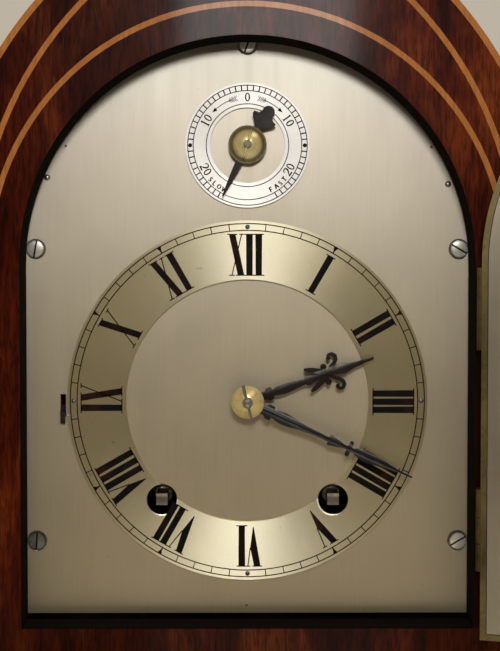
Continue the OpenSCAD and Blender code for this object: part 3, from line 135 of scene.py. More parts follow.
class Material(Nodes):
    """A principled material with helpers that add procedural detail."""

    def __init__(self, name, base=(0.5, 0.5, 0.5), metallic=0.0, roughness=0.5, **sockets):
        self.mat = bpy.data.materials.new(name)
        self.mat.use_nodes = True
        super().__init__(self.mat.node_tree)
        self.bsdf = self.node("ShaderNodeBsdfPrincipled")
        self.node("ShaderNodeOutputMaterial", Surface=self.bsdf.outputs[0])
        self.set("Base Color", (*base, 1))
        self.set("Metallic", metallic)
        self.set("Roughness", roughness)
        for key, value in sockets.items():
            self.set(key.replace("_", " "), value)
        self.coords = self.node("ShaderNodeTexCoord").outputs["Object"]
        self.bump = None

    def set(self, socket, value):
        self.bsdf.inputs[socket].default_value = value

    def so_far(self, socket):
        """What is linked to a socket of the shader."""
        return self.bsdf.inputs[socket].links[0].from_socket

    def colour(self, socket):
        self.link(socket, self.bsdf.inputs["Base Color"])

    def shade(self, tone):
        """Multiplies the colour so far by a tone."""
        self.colour(self.mix(1.0, self.so_far("Base Color"), tone, "MULTIPLY"))

    def cover(self, share, colour):
        """Covers the colour so far with another one."""
        self.colour(self.mix(share, self.so_far("Base Color"), colour))

    def roughness(self, socket):
        self.link(socket, self.bsdf.inputs["Roughness"])

    def noise(self, scale, stretch=(1, 1, 1), detail=3.0, rough=0.55, distortion=0.0, shift=(0, 0, 0)):
        """Noise with its scale in features per metre, stretched along the axes."""
        m = self.node("ShaderNodeMapping", Vector=self.coords)
        m.inputs["Scale"].default_value = [scale * s for s in stretch]
        m.inputs["Location"].default_value = shift
        n = self.node("ShaderNodeTexNoise", Vector=m.outputs[0], Scale=1.0, Detail=detail,
                      Roughness=rough, Distortion=distortion)
        return n.outputs["Fac"]

    def spread(self, value, low, high):
        """A value from 0 to 1 brought to a range."""
        return self.node("ShaderNodeMapRange", Value=value, To_Min=low, To_Max=high).outputs[0]

    def place(self, axis):
        """Where the surface is along an axis, in metres."""
        return self.node("ShaderNodeSeparateXYZ", Vector=self.coords).outputs[axis]

    def share(self, value, start, length):
        """How far a value in metres has come from a start over a length, both in millimetres."""
        return self.math("DIVIDE", self.math("SUBTRACT", value, start * MM), length * MM)

    def add_bump(self, height, strength=1.0, distance=1.0):
        n = self.node("ShaderNodeBump", Height=height, Strength=strength, Distance=distance)
        if self.bump is not None:
            self.link(self.bump, n.inputs["Normal"])
        self.bump = n.outputs[0]
        self.link(self.bump, self.bsdf.inputs["Normal"])

    def tangent(self, axis, rotation, amount):
        """Brushed metal: the grain runs round an axis, turned by a share of a whole turn."""
        n = self.tree.nodes.new("ShaderNodeTangent")
        n.direction_type = "RADIAL"
        n.axis = axis
        self.link(n.outputs[0], self.bsdf.inputs["Tangent"])
        self.set("Anisotropic", amount)
        self.set("Anisotropic Rotation", rotation)

    def length(self, a, b):
        """The length of a vector from its two parts."""
        return self.math("SQRT", self.math("ADD", self.math("MULTIPLY", a, a), self.math("MULTIPLY", b, b)))

    def radius_from(self, x, z):
        """Distance in metres from a line along Y through x, z (millimetres)."""
        dx = self.math("SUBTRACT", self.place(0), x * MM)
        dz = self.math("SUBTRACT", self.place(2), z * MM)
        return self.length(dx, dz)

    def nearest(self, points):
        """Distance in metres to the nearest of the points x, z, given in millimetres."""
        least = None
        for x, z in points:
            r = self.radius_from(x, z)
            least = r if least is None else self.math("MINIMUM", least, r)
        return least

    def near(self, points, reach):
        """One inside the given distance of any of the points x, z, and zero outside, all in millimetres."""
        return self.math("LESS_THAN", self.nearest(points), reach * MM)

    def dish(self, x, z, slope):
        """Leans the surface towards a centre, like a slightly dished disc."""
        self.add_bump(self.math("MULTIPLY", self.radius_from(x, z), slope))

    def dome(self, away, curve):
        """Rounds the surface by the square of a distance in metres."""
        self.add_bump(self.math("MULTIPLY", self.math("MULTIPLY", away, away), -curve))

    def countersink(self, points, inner, outer, slope):
        """A narrow sloping edge round each of the points, between two radii in millimetres."""
        r = self.math("MAXIMUM", self.math("MINIMUM", self.nearest(points), outer * MM), inner * MM)
        self.add_bump(self.math("MULTIPLY", r, slope))

    def ridge(self, x, z, angle, curve, half=2.3):
        """Rounds a flat hand over its length. The angle is clockwise from the top."""
        dx = self.math("SUBTRACT", self.place(0), x * MM)
        dz = self.math("SUBTRACT", self.place(2), z * MM)
        a = math.radians(angle)
        across = self.math("SUBTRACT", self.math("MULTIPLY", dx, math.cos(a)),
                           self.math("MULTIPLY", dz, math.sin(a)))
        self.dome(self.math("MINIMUM", self.math("ABSOLUTE", across), half * MM), curve)


GLOSS = 0.08
MAHOGANY = ((0.053, 0.0055, 0.0017), (0.165, 0.0215, 0.0052), (0.375, 0.073, 0.0155))
BOXWOOD = ((0.72, 0.265, 0.066), (0.82, 0.315, 0.080), (0.90, 0.38, 0.105))
INSIDE = ((0.030, 0.010, 0.006), (0.075, 0.024, 0.012), (0.12, 0.042, 0.020))
# The fillet's colours are near black: painted shade of the recess behind the front board
FILLET = ((0.004, 0.002, 0.001), (0.008, 0.004, 0.002), (0.016, 0.007, 0.004))


def wood(name, grain, dark, mid, light, gloss=GLOSS, ribbon=34.0):
    """Polished wood whose grain runs along one axis: 0, 1 or 2."""
    m = Material(name, mid, roughness=0.40, Coat_Weight=gloss, Coat_Roughness=0.10, IOR=1.45)
    m.set("Specular IOR Level", 0.05)

    def drawn(share):
        """The scales that draw a pattern out along the grain."""
        return [share if axis == grain else 1.0 for axis in range(3)]

    figure = m.noise(ribbon, drawn(0.30), 4.0, 0.6, 0.9)
    stripe = m.noise(ribbon * 3.4, drawn(0.10), 3.0, 0.6, 0.5, (3, 1, 2))
    fine = m.noise(820, drawn(0.13), 2.0, 0.65, 0.3, (7, 3, 1))
    pores = m.noise(1500, drawn(0.10), 1.0, 0.5, 0.0, (1, 8, 4))
    base = m.ramp(figure, [(0.32, dark), (0.50, mid), (0.68, light)])
    base = m.mix(1.0, base, m.ramp(stripe, [(0.34, 0.55), (0.62, 1.0)]), "MULTIPLY")
    base = m.mix(0.90, base, m.ramp(fine, [(0.36, 0.40), (0.60, 1.0)]), "MULTIPLY")
    pore = m.ramp(pores, [(0.58, 1.0), (0.68, 0.35)])
    m.colour(m.mix(0.8, base, pore, "MULTIPLY"))
    m.roughness(m.spread(m.noise(45), 0.26, 0.44))
    m.add_bump(fine, 0.10, 0.0002)
    m.add_bump(pore, 0.18, 0.0001)
    m.add_bump(m.noise(14, detail=1.0), 0.05, 0.002)
    return m


def front_board_wood():
    """Wood of the front board: shaded as under the photo's lamp, dark and dull round the opening."""
    lip_depth = 0.12
    # Painted shadow of the door: the wood beside the hinges is painted dark as far as the shut door's frame
    # covers it
    door_shadow_width = 12.5
    hinge_top, hinge_fade = 236, 7
    foot, foot_fade = 104, 24
    m = wood("mahogany_front", 2, *MAHOGANY)
    x, z = m.place(0), m.place(2)
    # Painted shade: darkest along a slanting band from the upper left to the lower right
    slant = m.share(m.math("ADD", x, z), 190, 250)
    m.shade(m.ramp(slant, [(0.0, 1.0), (0.22, 0.40), (0.45, 0.42), (0.95, 1.0)]))
    # Painted shade: the wood is darker towards its foot
    m.shade(m.ramp(m.share(z, foot, foot_fade), [(0.0, 0.50), (1.0, 1.0)]))
    above_sill = m.math("GREATER_THAN", z, SILL_Z * MM)
    on_right = m.math("GREATER_THAN", x, 0.0)
    beside = m.math("MULTIPLY", on_right, m.math("LESS_THAN", x, (OPENING + door_shadow_width) * MM))
    door_shadow_below_hinge = m.ramp(m.share(z, hinge_top, hinge_fade), [(0.0, 0.80), (1.0, 0.0)])
    # Painted shadow of the door on the strip beside the opening, below the upper hinge
    m.cover(m.math("MULTIPLY", beside, m.math("MULTIPLY", door_shadow_below_hinge, above_sill)), (0.012, 0.005, 0.003))
    above_spring = m.math("MAXIMUM", m.math("SUBTRACT", z, SPRING_Z * MM), 0.0)
    inside = m.math("LESS_THAN", m.length(x, above_spring), (OPENING + lip_depth) * MM)
    shaded_lip = m.math("MULTIPLY", inside, above_sill)
    # Painted shade: the edge of the arched opening is painted near black, as it lies in the shade of the
    # board's thickness; it is also made dull
    m.cover(shaded_lip, (0.009, 0.006, 0.004))
    m.link(m.math("MULTIPLY", m.math("SUBTRACT", 1.0, shaded_lip), GLOSS), m.bsdf.inputs["Coat Weight"])
    m.roughness(m.math("MAXIMUM", m.so_far("Roughness"), m.math("MULTIPLY", shaded_lip, 0.95)))
    return m


front_wood = front_board_wood()
wood_z = wood("mahogany_upright", 2, *MAHOGANY)
wood_y = wood("mahogany_carcase", 1, *MAHOGANY)
wood_x = wood("mahogany_across", 0, *MAHOGANY)
plain_wood = wood("mahogany_inside", 0, *INSIDE)
# The dial fillet is painted near black, as painted shade in the recess behind the front board
fillet_wood_in_shade = wood("mahogany_fillet", 2, *FILLET, gloss=0.0)
fillet_wood_in_shade.set("Specular IOR Level", 0.02)
box_wood = wood("boxwood_line", 2, *BOXWOOD, gloss=0.15, ribbon=60.0)
box_wood.cover(0.72, (0.60, 0.225, 0.060))


def metal(name, base, worn, roughness=(0.24, 0.42), metallic=1.0, patch=40.0):
    """Metal with cloudy tarnish, fine scratches and uneven polish."""
    m = Material(name, base, metallic)
    cloud = m.noise(patch, (1, 1, 1), 5.0, 0.6, 0.4)
    specks = m.noise(patch * 14, (1, 1, 1), 3.0, 0.6, 0.0, (5, 2, 9))
    tone = m.ramp(cloud, [(0.36, worn), (0.62, base)])
    speck = m.ramp(specks, [(0.28, 0.55), (0.46, 1.0)])
    m.colour(m.mix(0.6, tone, speck, "MULTIPLY"))
    m.roughness(m.spread(cloud, roughness[1], roughness[0]))
    scratch = m.noise(patch * 6, (1, 1, 14), 2.0, 0.6, 0.3, (2, 2, 2))
    m.add_bump(scratch, 0.05, 0.0001)
    m.add_bump(specks, 0.06, 0.0001)
    return m


BRASS = ((0.62, 0.42, 0.16), (0.36, 0.235, 0.085))
brass = metal("brass_polished", *BRASS)
brass_front = metal("brass_front_plate", *BRASS)
# The front plate lies in the dark behind the winding holes
brass_front.cover(brass_front.near(HOLES, 8.0), (0.020, 0.014, 0.008))
brass_old = metal("brass_tarnished", (0.25, 0.195, 0.085), (0.105, 0.085, 0.036), (0.30, 0.52), 0.9, 28.0)
brass_bright = metal("brass_collet", (0.95, 0.80, 0.38), (0.80, 0.62, 0.27), (0.26, 0.38), 0.35)
steel = metal("steel_bright", (0.56, 0.55, 0.53), (0.36, 0.34, 0.32), (0.22, 0.40))
steel_dark = metal("steel_grey", (0.22, 0.22, 0.23), (0.12, 0.11, 0.11), (0.30, 0.50))
blued = metal("steel_blued", (0.028, 0.036, 0.062), (0.016, 0.018, 0.026), (0.28, 0.46), 0.85, 60.0)
black_steel = metal("steel_blacked", (0.034, 0.028, 0.026), (0.014, 0.012, 0.011), (0.42, 0.62), 0.6, 90.0)
iron = metal("iron_cast", (0.045, 0.045, 0.048), (0.022, 0.021, 0.022), (0.55, 0.75), 0.5, 120.0)
gong_steel = metal("gong_blued", (0.055, 0.050, 0.060), (0.10, 0.075, 0.05), (0.28, 0.44), 0.95, 50.0)

# The two hands are rounded over their length
minute_steel = metal("steel_minute_hand", (0.088, 0.092, 0.104), (0.055, 0.056, 0.062), (0.17, 0.27),
                     patch=60.0)
minute_steel.ridge(0.0, CENTRE_Z, MINUTE_ANGLE, 170.0)
hour_steel = metal("steel_hour_hand", (0.048, 0.041, 0.037), (0.022, 0.018, 0.016), (0.30, 0.44), 0.9, 90.0)
hour_steel.ridge(0.0, CENTRE_Z, HOUR_ANGLE, 70.0)


def regulator_collet_brass():
    """A bright dome with a dark pivot and a dark band round its rim, lighter at the outer edge. The ramp's
    places are radii in centimetres.
    """
    m = metal("brass_regulator", (0.97, 0.86, 0.44), (0.84, 0.70, 0.32), (0.18, 0.28), 0.35)
    radius = m.share(m.radius_from(0.0, REGULATOR_Z), 0, 10)
    m.shade(m.ramp(radius, [(0.14, 0.12), (0.18, 1.0), (0.42, 1.0), (0.52, 0.70), (0.58, 0.22), (0.66, 0.20),
                            (0.71, 0.45)]))
    return m


def dial_screw_steel():
    """Domed screw heads with a dark edge, and painted shade in their slots. The lower left one is dull."""
    slot_depth, dull_screw = 1.05, SCREWS[1]
    m = metal("steel_dial_screws", (0.96, 0.93, 0.86), (0.70, 0.66, 0.58), (0.22, 0.36), 0.6, 160.0)
    away = m.nearest(SCREWS)
    m.dome(away, 22.0)
    m.shade(m.ramp(m.share(away, 0, 10), [(0.28, 1.0), (0.33, 0.25)]))
    m.cover(m.math("MULTIPLY", m.near([dull_screw], 4.0), 0.72), (0.035, 0.038, 0.030))
    # Painted shade: the screws are painted near black from the depth of their slot floors back to the dial
    m.cover(m.math("GREATER_THAN", m.place(1), (DIAL_Y - slot_depth) * MM), (0.016, 0.013, 0.010))
    return m


def winding_square_steel():
    """Squares that are lit at their upper and lower edges, on arbors that lie in the dark."""
    height = 5
    m = metal("steel_winding_squares", (0.74, 0.70, 0.62), (0.50, 0.46, 0.40), (0.22, 0.34), 1.0, 120.0)
    up = m.share(m.place(2), HOLES[0][1] - height / 2, height)
    m.shade(m.ramp(up, [(0.05, 0.75), (0.25, 0.42), (0.62, 0.36), (0.80, 1.0)]))
    m.shade(m.ramp(m.share(m.nearest(HOLES), 0, 10), [(0.30, 1.0), (0.36, 0.04)]))
    return m


def wheel_metal(name, x, z, hub):
    """Brass wheel on a steel arbor, told apart by the distance from the arbor's line."""
    m = Material(name, metallic=1.0)
    is_brass = m.ramp(m.share(m.radius_from(x, z), 0, 100), [(hub / 100 - 0.0004, 0.0), (hub / 100, 1.0)])
    cloud = m.noise(45, (1, 1, 1), 4.0, 0.6, 0.4)
    yellow = m.ramp(cloud, [(0.36, (0.42, 0.28, 0.10)), (0.62, (0.64, 0.45, 0.17))])
    grey = m.ramp(cloud, [(0.36, (0.30, 0.29, 0.28)), (0.62, (0.52, 0.51, 0.50))])
    m.colour(m.mix(is_brass, grey, yellow))
    m.roughness(m.spread(cloud, 0.40, 0.24))
    turned = m.noise(900, (1, 1, 1), 2.0)
    m.add_bump(turned, 0.05, 0.00008)
    m.tangent("Y", 0.25, 0.5)
    return m


# Brushing: the axis that the grain runs round, and its turn
UPRIGHT, ROUND = ("Z", 0.0), ("Y", 0.25)


def silvered(name, base, low, roughness, brushing, amount, stretch=(1, 1, 1), metallic=0.78):
    """Silvered brass with brushing, faint patina clouds and small marks."""
    m = Material(name, base, metallic)
    grain = m.noise(1500, stretch, 2.0, 0.6)
    broad = m.noise(16, (1, 1, 1), 4.0, 0.55, 0.3)
    band = m.noise(190, stretch, 3.0, 0.6, 0.0, (4, 4, 4))
    spots = m.noise(300, (1, 1, 1), 1.0, 0.5, 0.0, (9, 1, 3))
    tone = m.ramp(broad, [(0.34, low), (0.66, base)])
    tone = m.mix(1.0, tone, m.ramp(grain, [(0.30, 0.95), (0.70, 1.0)]), "MULTIPLY")
    tone = m.mix(0.6, tone, m.ramp(band, [(0.30, 0.96), (0.70, 1.0)]), "MULTIPLY")
    m.colour(m.mix(0.5, tone, m.ramp(spots, [(0.76, 1.0), (0.82, 0.62)]), "MULTIPLY"))
    m.roughness(m.spread(band, roughness - 0.03, roughness + 0.05))
    m.add_bump(grain, 0.06, 0.00006)
    m.tangent(*brushing, amount)
    return m


def tone_by_place(m, axis, start, tones):
    """Tints a silvered face along an axis as painted light, and darkens it at the winding holes with painted
    shade and bevels it there.
    """
    tone_length = 220
    m.shade(m.ramp(m.math("ABSOLUTE", m.share(m.place(axis), start, tone_length)), tones))
    # Painted shade inside the winding holes
    m.cover(m.near(HOLES, HOLE_R + 0.06), (0.012, 0.010, 0.008))
    m.countersink(HOLES, HOLE_R + 0.05, HOLE_R + 0.5, 0.22)


dial_silver = silvered("dial_silvered", (0.67, 0.61, 0.51), (0.60, 0.54, 0.45), 0.475, UPRIGHT, 0.25,
                       (1, 1, 0.03), 0.95)
# Painted light: the dial is tinted warmer towards the bottom, away from the lamp's reflection, and cooler at
# the top, where the reflection falls
tone_by_place(dial_silver, 2, CENTRE_Z - 90, [(0.0, (1.0, 0.965, 0.80)), (0.55, (1.0, 0.98, 0.88)),
                                              (0.85, (1.0, 1.0, 1.0)), (1.0, (0.93, 0.97, 1.0))])
dial_silver.countersink(SCREWS, SCREW_R, SCREW_R + 0.6, 0.45)
ring_silver = silvered("ring_silvered", (0.83, 0.78, 0.60), (0.75, 0.70, 0.53), 0.40, ROUND, 0.85,
                       metallic=0.9)
ring_silver.dish(0.0, CENTRE_Z, 0.11)
# Painted light: the chapter ring is tinted warmer towards its sides, where it is darker, and left plain at
# twelve and six, where it catches the lamp
tone_by_place(ring_silver, 0, 0.0, [(0.0, (1.0, 1.0, 1.0)), (0.28, (1.0, 0.97, 0.80))])
regulator_silver = silvered("regulator_silvered", (0.75, 0.735, 0.70), (0.69, 0.67, 0.64), 0.44, ROUND, 0.5)
regulator_silver.dish(0.0, REGULATOR_Z, 0.045)
band_silver = silvered("band_silvered", (0.50, 0.46, 0.36), (0.40, 0.36, 0.27), 0.42, UPRIGHT, 0.5,
                       (1, 1, 0.05))

wax = Material("wax_black", (0.006, 0.005, 0.004), 0.0, 0.6)
wax.set("Specular IOR Level", 0.12)
worn = wax.noise(110, (1, 1, 1), 4.0, 0.65)
wax.colour(wax.ramp(worn, [(0.50, (0.005, 0.004, 0.0035)), (0.74, (0.050, 0.014, 0.008))]))
wax.roughness(wax.spread(wax.noise(400), 0.45, 0.75))
wax.add_bump(wax.noise(700), 0.25, 0.0001)

glass = Material("glass_clear", (0.80, 0.86, 0.84), 0.0, 0.03, Alpha=0.10, IOR=1.5)
glass.roughness(glass.spread(glass.noise(20), 0.015, 0.06))
glass.add_bump(glass.noise(9, detail=1.0), 0.02, 0.001)

ivory = Material("pin_white", (0.75, 0.73, 0.68), 0.2, 0.35)
ivory.roughness(ivory.spread(ivory.noise(300), 0.3, 0.45))


def dress(material, *names):
    """Gives solids of the part their material."""
    for name in names:
        obj = nodes[name]
        obj.data.materials.clear()
        obj.data.materials.append(material.mat)


dress(front_wood, "front_board")
dress(wood_z, "back_frame", "back_door_frame")
dress(wood_y, "carcase")
dress(wood_x, "plinth")
dress(plain_wood, "base_board", "seat_board")
dress(fillet_wood_in_shade, "dial_fillet")
dress(box_wood, "inlay_lines")
dress(brass_old, "front_door_frame", "front_door_knuckles", "hinge_leaves")
dress(brass, "back_door_knuckles", "back_door_catch", "back_plate", "pillars",
      "motion_bridge", "brass_cocks", "pendulum_bob", "rating_nut", "going_barrel", "strike_barrel")
dress(brass_front, "front_plate")
dress(brass_bright, "hand_collet")
dress(regulator_collet_brass(), "regulator_collet", "regulator_arbor")
dress(band_silver, "front_door_band")
dress(dial_silver, "dial_plate")
dress(ring_silver, "chapter_ring")
dress(regulator_silver, "regulator_ring")
dress(glass, "front_door_glass", "back_door_glass")
dress(steel, "collet_pin", "rise_slide", "pendulum_rod", "anchor", "going_click", "strike_click",
      "strike_rack")
dress(dial_screw_steel(), "dial_screws")
dress(winding_square_steel(), "going_winder", "strike_winder")
dress(minute_steel, "minute_hand")
dress(hour_steel, "hour_hand")
dress(black_steel, "regulator_hand", "silent_lever")
dress(gong_steel, "gongs")
dress(iron, "gong_block")


def arbor_of(body):
    """Where the joint that turns a body passes, as x, z in millimetres."""
    joint = next(j for j in frame["record"]["behaviour"]["joints"] if j["child"] == body)
    return joint["pos_m"][0] / MM, joint["pos_m"][2] / MM


for node, body, hub in (("cannon_wheel", "minute_work", 2.4), ("minute_wheel", "minute_reverser", 2.0),
                        ("hour_wheel", "hour_work", 1.0), ("centre_arbor", "minute_work", 4.6),
                        ("third_wheel", "third", 2.9), ("escape_wheel", "escape", 2.9),
                        ("second_wheel", "second", 4.4), ("strike_second_wheel", "strike_second", 4.4),
                        ("pin_wheel", "pin_wheel_arbor", 4.6), ("fly", "fly_arbor", 2.4),
                        ("hammer_low", "low_hammer", 2.3), ("hammer_high", "high_hammer", 2.3)):
    dress(wheel_metal(node + "_metal", *arbor_of(body), hub), node)


# Small pieces in mesh code

def circle(a, b, steps):
    """Points round a circle, or round an ellipse with two half widths."""
    turns = [2 * math.pi * i / steps for i in range(steps)]
    return [(a * math.cos(t), b * math.sin(t)) for t in turns]


class Piece:
    """A mesh built from extruded outlines and turned profiles. All lengths are in millimetres."""

    def __init__(self, name):
        self.name = name
        self.bm = bmesh.new()

    def prism(self, outline, y, depth):
        """An outline of x, z points made solid from the plane y backwards."""
        front = [self.bm.verts.new((x * MM, y * MM, z * MM)) for x, z in outline]
        back = [self.bm.verts.new((x * MM, (y + depth) * MM, z * MM)) for x, z in outline]
        n = len(outline)
        self.bm.faces.new(front)
        self.bm.faces.new(back[::-1])
        for i in range(n):
            j = (i + 1) % n
            self.bm.faces.new((front[i], back[i], back[j], front[j]))

    def arc(self, at, r0, r1, a0, a1, y, depth, steps=None):
        """A flat band between two radii. Angles are clockwise from the top; 0 to 360 closes on itself."""
        whole = abs(a1 - a0) >= 360
        steps = steps or max(4, int(abs(a1 - a0) / 3))
        rings = []
        for i in range(steps if whole else steps + 1):
            a = math.radians(a0 + (a1 - a0) * i / steps)
            c, s = math.cos(a), math.sin(a)
            rings.append([self.bm.verts.new(((at[0] + r * s) * MM, yy * MM, (at[1] + r * c) * MM))
                          for r, yy in ((r0, y), (r1, y), (r1, y + depth), (r0, y + depth))])
        count = len(rings)
        for i in range(count if whole else count - 1):
            p, q = rings[i], rings[(i + 1) % count]
            for k in range(4):
                self.bm.faces.new((p[k], p[(k + 1) % 4], q[(k + 1) % 4], q[k]))
        if not whole:
            self.bm.faces.new(rings[0])
            self.bm.faces.new(rings[-1][::-1])

    def lathe(self, at, y, profile, steps=28):
        """A solid turned about a line along Y: profile gives radius and distance from the plane y."""
        rows = []
        for r, d in profile:
            places = circle(r, r, steps) if r > 0 else [(0, 0)]
            rows.append([self.bm.verts.new(((at[0] + x) * MM, (y + d) * MM, (at[1] + z) * MM))
                         for x, z in places])
        for a, b in zip(rows, rows[1:]):
            for i in range(steps):
                j = (i + 1) % steps
                corners = []
                for v in (a[i % len(a)], b[i % len(b)], b[j % len(b)], a[j % len(a)]):
                    if v not in corners:
                        corners.append(v)
                if len(corners) > 2:
                    self.bm.faces.new(corners)
        for row, flip in ((rows[0], 1), (rows[-1], -1)):
            if len(row) > 1:
                self.bm.faces.new(row[::flip])

    def screw(self, at, y, r, height, turn, towards=-1):
        """A slotted screw head on the plane y, facing front (-1) or back (1), its slot turned in degrees."""
        half_slot = 0.11 * r + 0.12
        deep = height * 0.5
        steps = 14
        base_y, top_y = (y - deep, y - height) if towards < 0 else (y, y + deep)
        self.disc(at, r, base_y, deep)
        start = math.asin(half_slot / r)
        turns = [start + (math.pi - 2 * start) * i / steps for i in range(steps + 1)]
        c, s = math.cos(math.radians(turn)), math.sin(math.radians(turn))
        for side in (1, -1):
            pts = [(r * math.cos(t), r * math.sin(t)) for t in turns]
            pts = [(at[0] + side * (x * c - z * s), at[1] + side * (x * s + z * c)) for x, z in pts]
            self.prism(pts, top_y, deep)

    def disc(self, at, r, y, depth, steps=28):
        self.prism([(at[0] + x, at[1] + z) for x, z in circle(r, r, steps)], y, depth)

    def done(self, material, body="case", bevel=0.0, smooth=False):
        """Makes the mesh an object of the scene that rides on a body."""
        bmesh.ops.recalc_face_normals(self.bm, faces=self.bm.faces[:])
        mesh = bpy.data.meshes.new(self.name)
        self.bm.to_mesh(mesh)
        self.bm.free()
        obj = bpy.data.objects.new(self.name, mesh)
        bpy.context.scene.collection.objects.link(obj)
        mesh.materials.append(material.mat)
        if smooth:
            for p in mesh.polygons:
                p.use_smooth = True
        if bevel:
            mod = obj.modifiers.new("edge", "BEVEL")
            mod.width = bevel * MM
            mod.segments = 2
            mod.limit_method = "ANGLE"
        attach(obj, body)
        return obj


def placed(at, angle, points):
    """Points given across and outwards, turned clockwise by an angle about at."""
    a = math.radians(angle)
    s, c = math.sin(a), math.cos(a)
    return [(at[0] + u * c + v * s, at[1] - u * s + v * c) for u, v in points]


def stroke(a, b, wa, wb=None):
    """A straight stroke between two points with its width at each end."""
    wb = wa if wb is None else wb
    dx, dz = b[0] - a[0], b[1] - a[1]
    n = math.hypot(dx, dz) or 1
    px, pz = -dz / n / 2, dx / n / 2
    return [(a[0] + px * wa, a[1] + pz * wa), (a[0] - px * wa, a[1] - pz * wa),
            (b[0] - px * wb, b[1] - pz * wb), (b[0] + px * wb, b[1] + pz * wb)]


# Chapter ring

# The wax inlay: how far it stands proud, its whole depth, and the width of its hairlines
FACE = 0.03
INK = 0.09
HAIR = 0.42
CENTRE = (0.0, CENTRE_Z)
FOOT_R, HEAD_R = 48.7, 64.5
TRACK_IN, TRACK_OUT = 66.05, 68.65
STROKE = 2.5

# Each letter of a numeral by its places across the stroke of the hour:
# I has its middle, V its thick stroke's head, its point and its hairline's head,
# X its thick stroke's head and foot and its hairline's head and foot
NUMERALS = (
    (("X", -5.9, -2.5, -2.3, -6.0), ("I", 0.75), ("I", 4.35)),
    (("I", 0.0),),
    (("I", -2.05), ("I", 1.5)),
    (("I", -2.85), ("I", 0.35), ("I", 3.5)),
    (("I", -4.75), ("I", -1.45), ("I", 1.8), ("I", 5.0)),
    (("V", -1.8, 0.3, 2.35),),
    (("V", -3.8, -2.3, -0.15), ("I", 2.25)),
    (("V", -6.3, -4.6, -2.0), ("I", 0.8), ("I", 4.0)),
    (("V", -8.2, -6.45, -3.7), ("I", -1.75), ("I", 1.7), ("I", 5.2)),
    (("I", -2.65), ("X", 1.3, 3.8, 6.0, -0.15)),
    (("X", -2.1, 1.3, 3.3, -3.4),),
    (("X", -4.9, -1.95, -1.2, -5.5), ("I", 2.2)),
)


def serif(u, r, reach):
    return stroke((u - reach, r), (u + reach, r), HAIR)


def letter(kind, *at):
    """Outlines of one letter, across and outwards, with hairline serifs at its foot and head."""
    half = STROKE / 2
    if kind == "I":
        return [stroke((at[0], FOOT_R), (at[0], HEAD_R), STROKE * 0.96, STROKE * 1.04),
                serif(at[0], FOOT_R, 2.15), serif(at[0], HEAD_R, 2.0)]
    if kind == "X":
        head, foot, thin_head, thin_foot = at
        return [[(head - half, HEAD_R), (foot - half, FOOT_R), (foot + half, FOOT_R), (head + half, HEAD_R)],
                stroke((thin_foot, FOOT_R), (thin_head, HEAD_R), HAIR), serif(head, HEAD_R, 1.95),
                serif(foot, FOOT_R, 2.0), serif(thin_head, HEAD_R, 0.9), serif(thin_foot, FOOT_R, 1.1)]
    head, point, thin_head = at
    low = FOOT_R + 0.5
    rise = HEAD_R - low
    # Where the thick stroke's inner edge meets the hairline
    part = (2 * half) / (thin_head - head + half - 0.2)
    join = (point + 0.1 + (thin_head - point) * part, low + rise * part)
    return [[(head - half, HEAD_R), (point - 0.12, low), (point + 0.2, low), join, (head + half, HEAD_R)],
            stroke(join, (thin_head, HEAD_R), HAIR), serif(head, HEAD_R, 1.9), serif(thin_head, HEAD_R, 0.9)]


hours = Piece("chapter_numerals")
for i, letters in enumerate(NUMERALS):
    for one in letters:
        for shape in letter(*one):
            hours.prism(placed(CENTRE, 30 * i, shape)[::-1], CHAPTER_Y - FACE, INK)
hours.done(wax)

track = Piece("chapter_minute_track")
for r in (TRACK_IN, TRACK_OUT):
    track.arc(CENTRE, r - HAIR / 2, r + HAIR / 2, 0, 360, CHAPTER_Y - FACE, INK, 180)
for i in range(60):
    if i % 15 == 0:
        continue
    if i % 5:
        mark = stroke((0, TRACK_IN), (0, TRACK_OUT), HAIR * 0.85)
    else:
        mark = [(-0.2, TRACK_IN), (-0.32, TRACK_IN + 1.1), (-0.95, TRACK_OUT), (0.95, TRACK_OUT),
                (0.32, TRACK_IN + 1.1), (0.2, TRACK_IN)][::-1]
    track.prism(placed(CENTRE, 6 * i, mark)[::-1], CHAPTER_Y - FACE, INK)
track.done(wax)

rivets = Piece("chapter_rivets")
for i in range(4):
    p = placed(CENTRE, 90 * i, [(0, (TRACK_IN + TRACK_OUT) / 2)])[0]
    rivets.lathe(p, CHAPTER_Y, [(0, -0.42), (0.5, -0.36), (0.85, -0.16), (0.95, 0.1)])
rivets.done(steel_dark, smooth=True)

# Regulator ring

REG = (0.0, REGULATOR_Z)
# Circles of the scale: half the width of their lines, and their radii
SCALE_LINE = 0.17
SCALE_RIM, SCALE_IN, SCALE_OUT = 15.9, 20.95, 23.05
DOT_R = 0.78
# Figures and words: radius, height, width of a stroke, and degrees from one figure to the next
FIGURE_R, FIGURE_H, FIGURE_BOLD, FIGURE_STEP = 18.5, 3.35, 0.58, 7.2
WORD_R, WORD_H, WORD_BOLD = 19.3, 1.85, 0.46
# Arrows: radius, half the width of the line, and the degrees between which it runs
ARROW_R, ARROW_LINE = 18.45, 0.15
ARROW_FROM, ARROW_TO = 18, 43
reg = Piece("regulator_scale")
for r in (SCALE_RIM, SCALE_IN, SCALE_OUT):
    reg.arc(REG, r - SCALE_LINE, r + SCALE_LINE, 0, 360, REGULATOR_Y - FACE, INK, 120)
for k in range(-25, 26):
    if abs(k) == 15:
        continue
    mark = stroke((0, SCALE_IN), (0, SCALE_OUT), 0.46)
    reg.prism(placed(REG, 6 * k, mark)[::-1], REGULATOR_Y - FACE, INK)
for a in (-90, 90):
    reg.disc(placed(REG, a, [(0, 22.1)])[0], DOT_R, REGULATOR_Y - FACE, INK, 20)


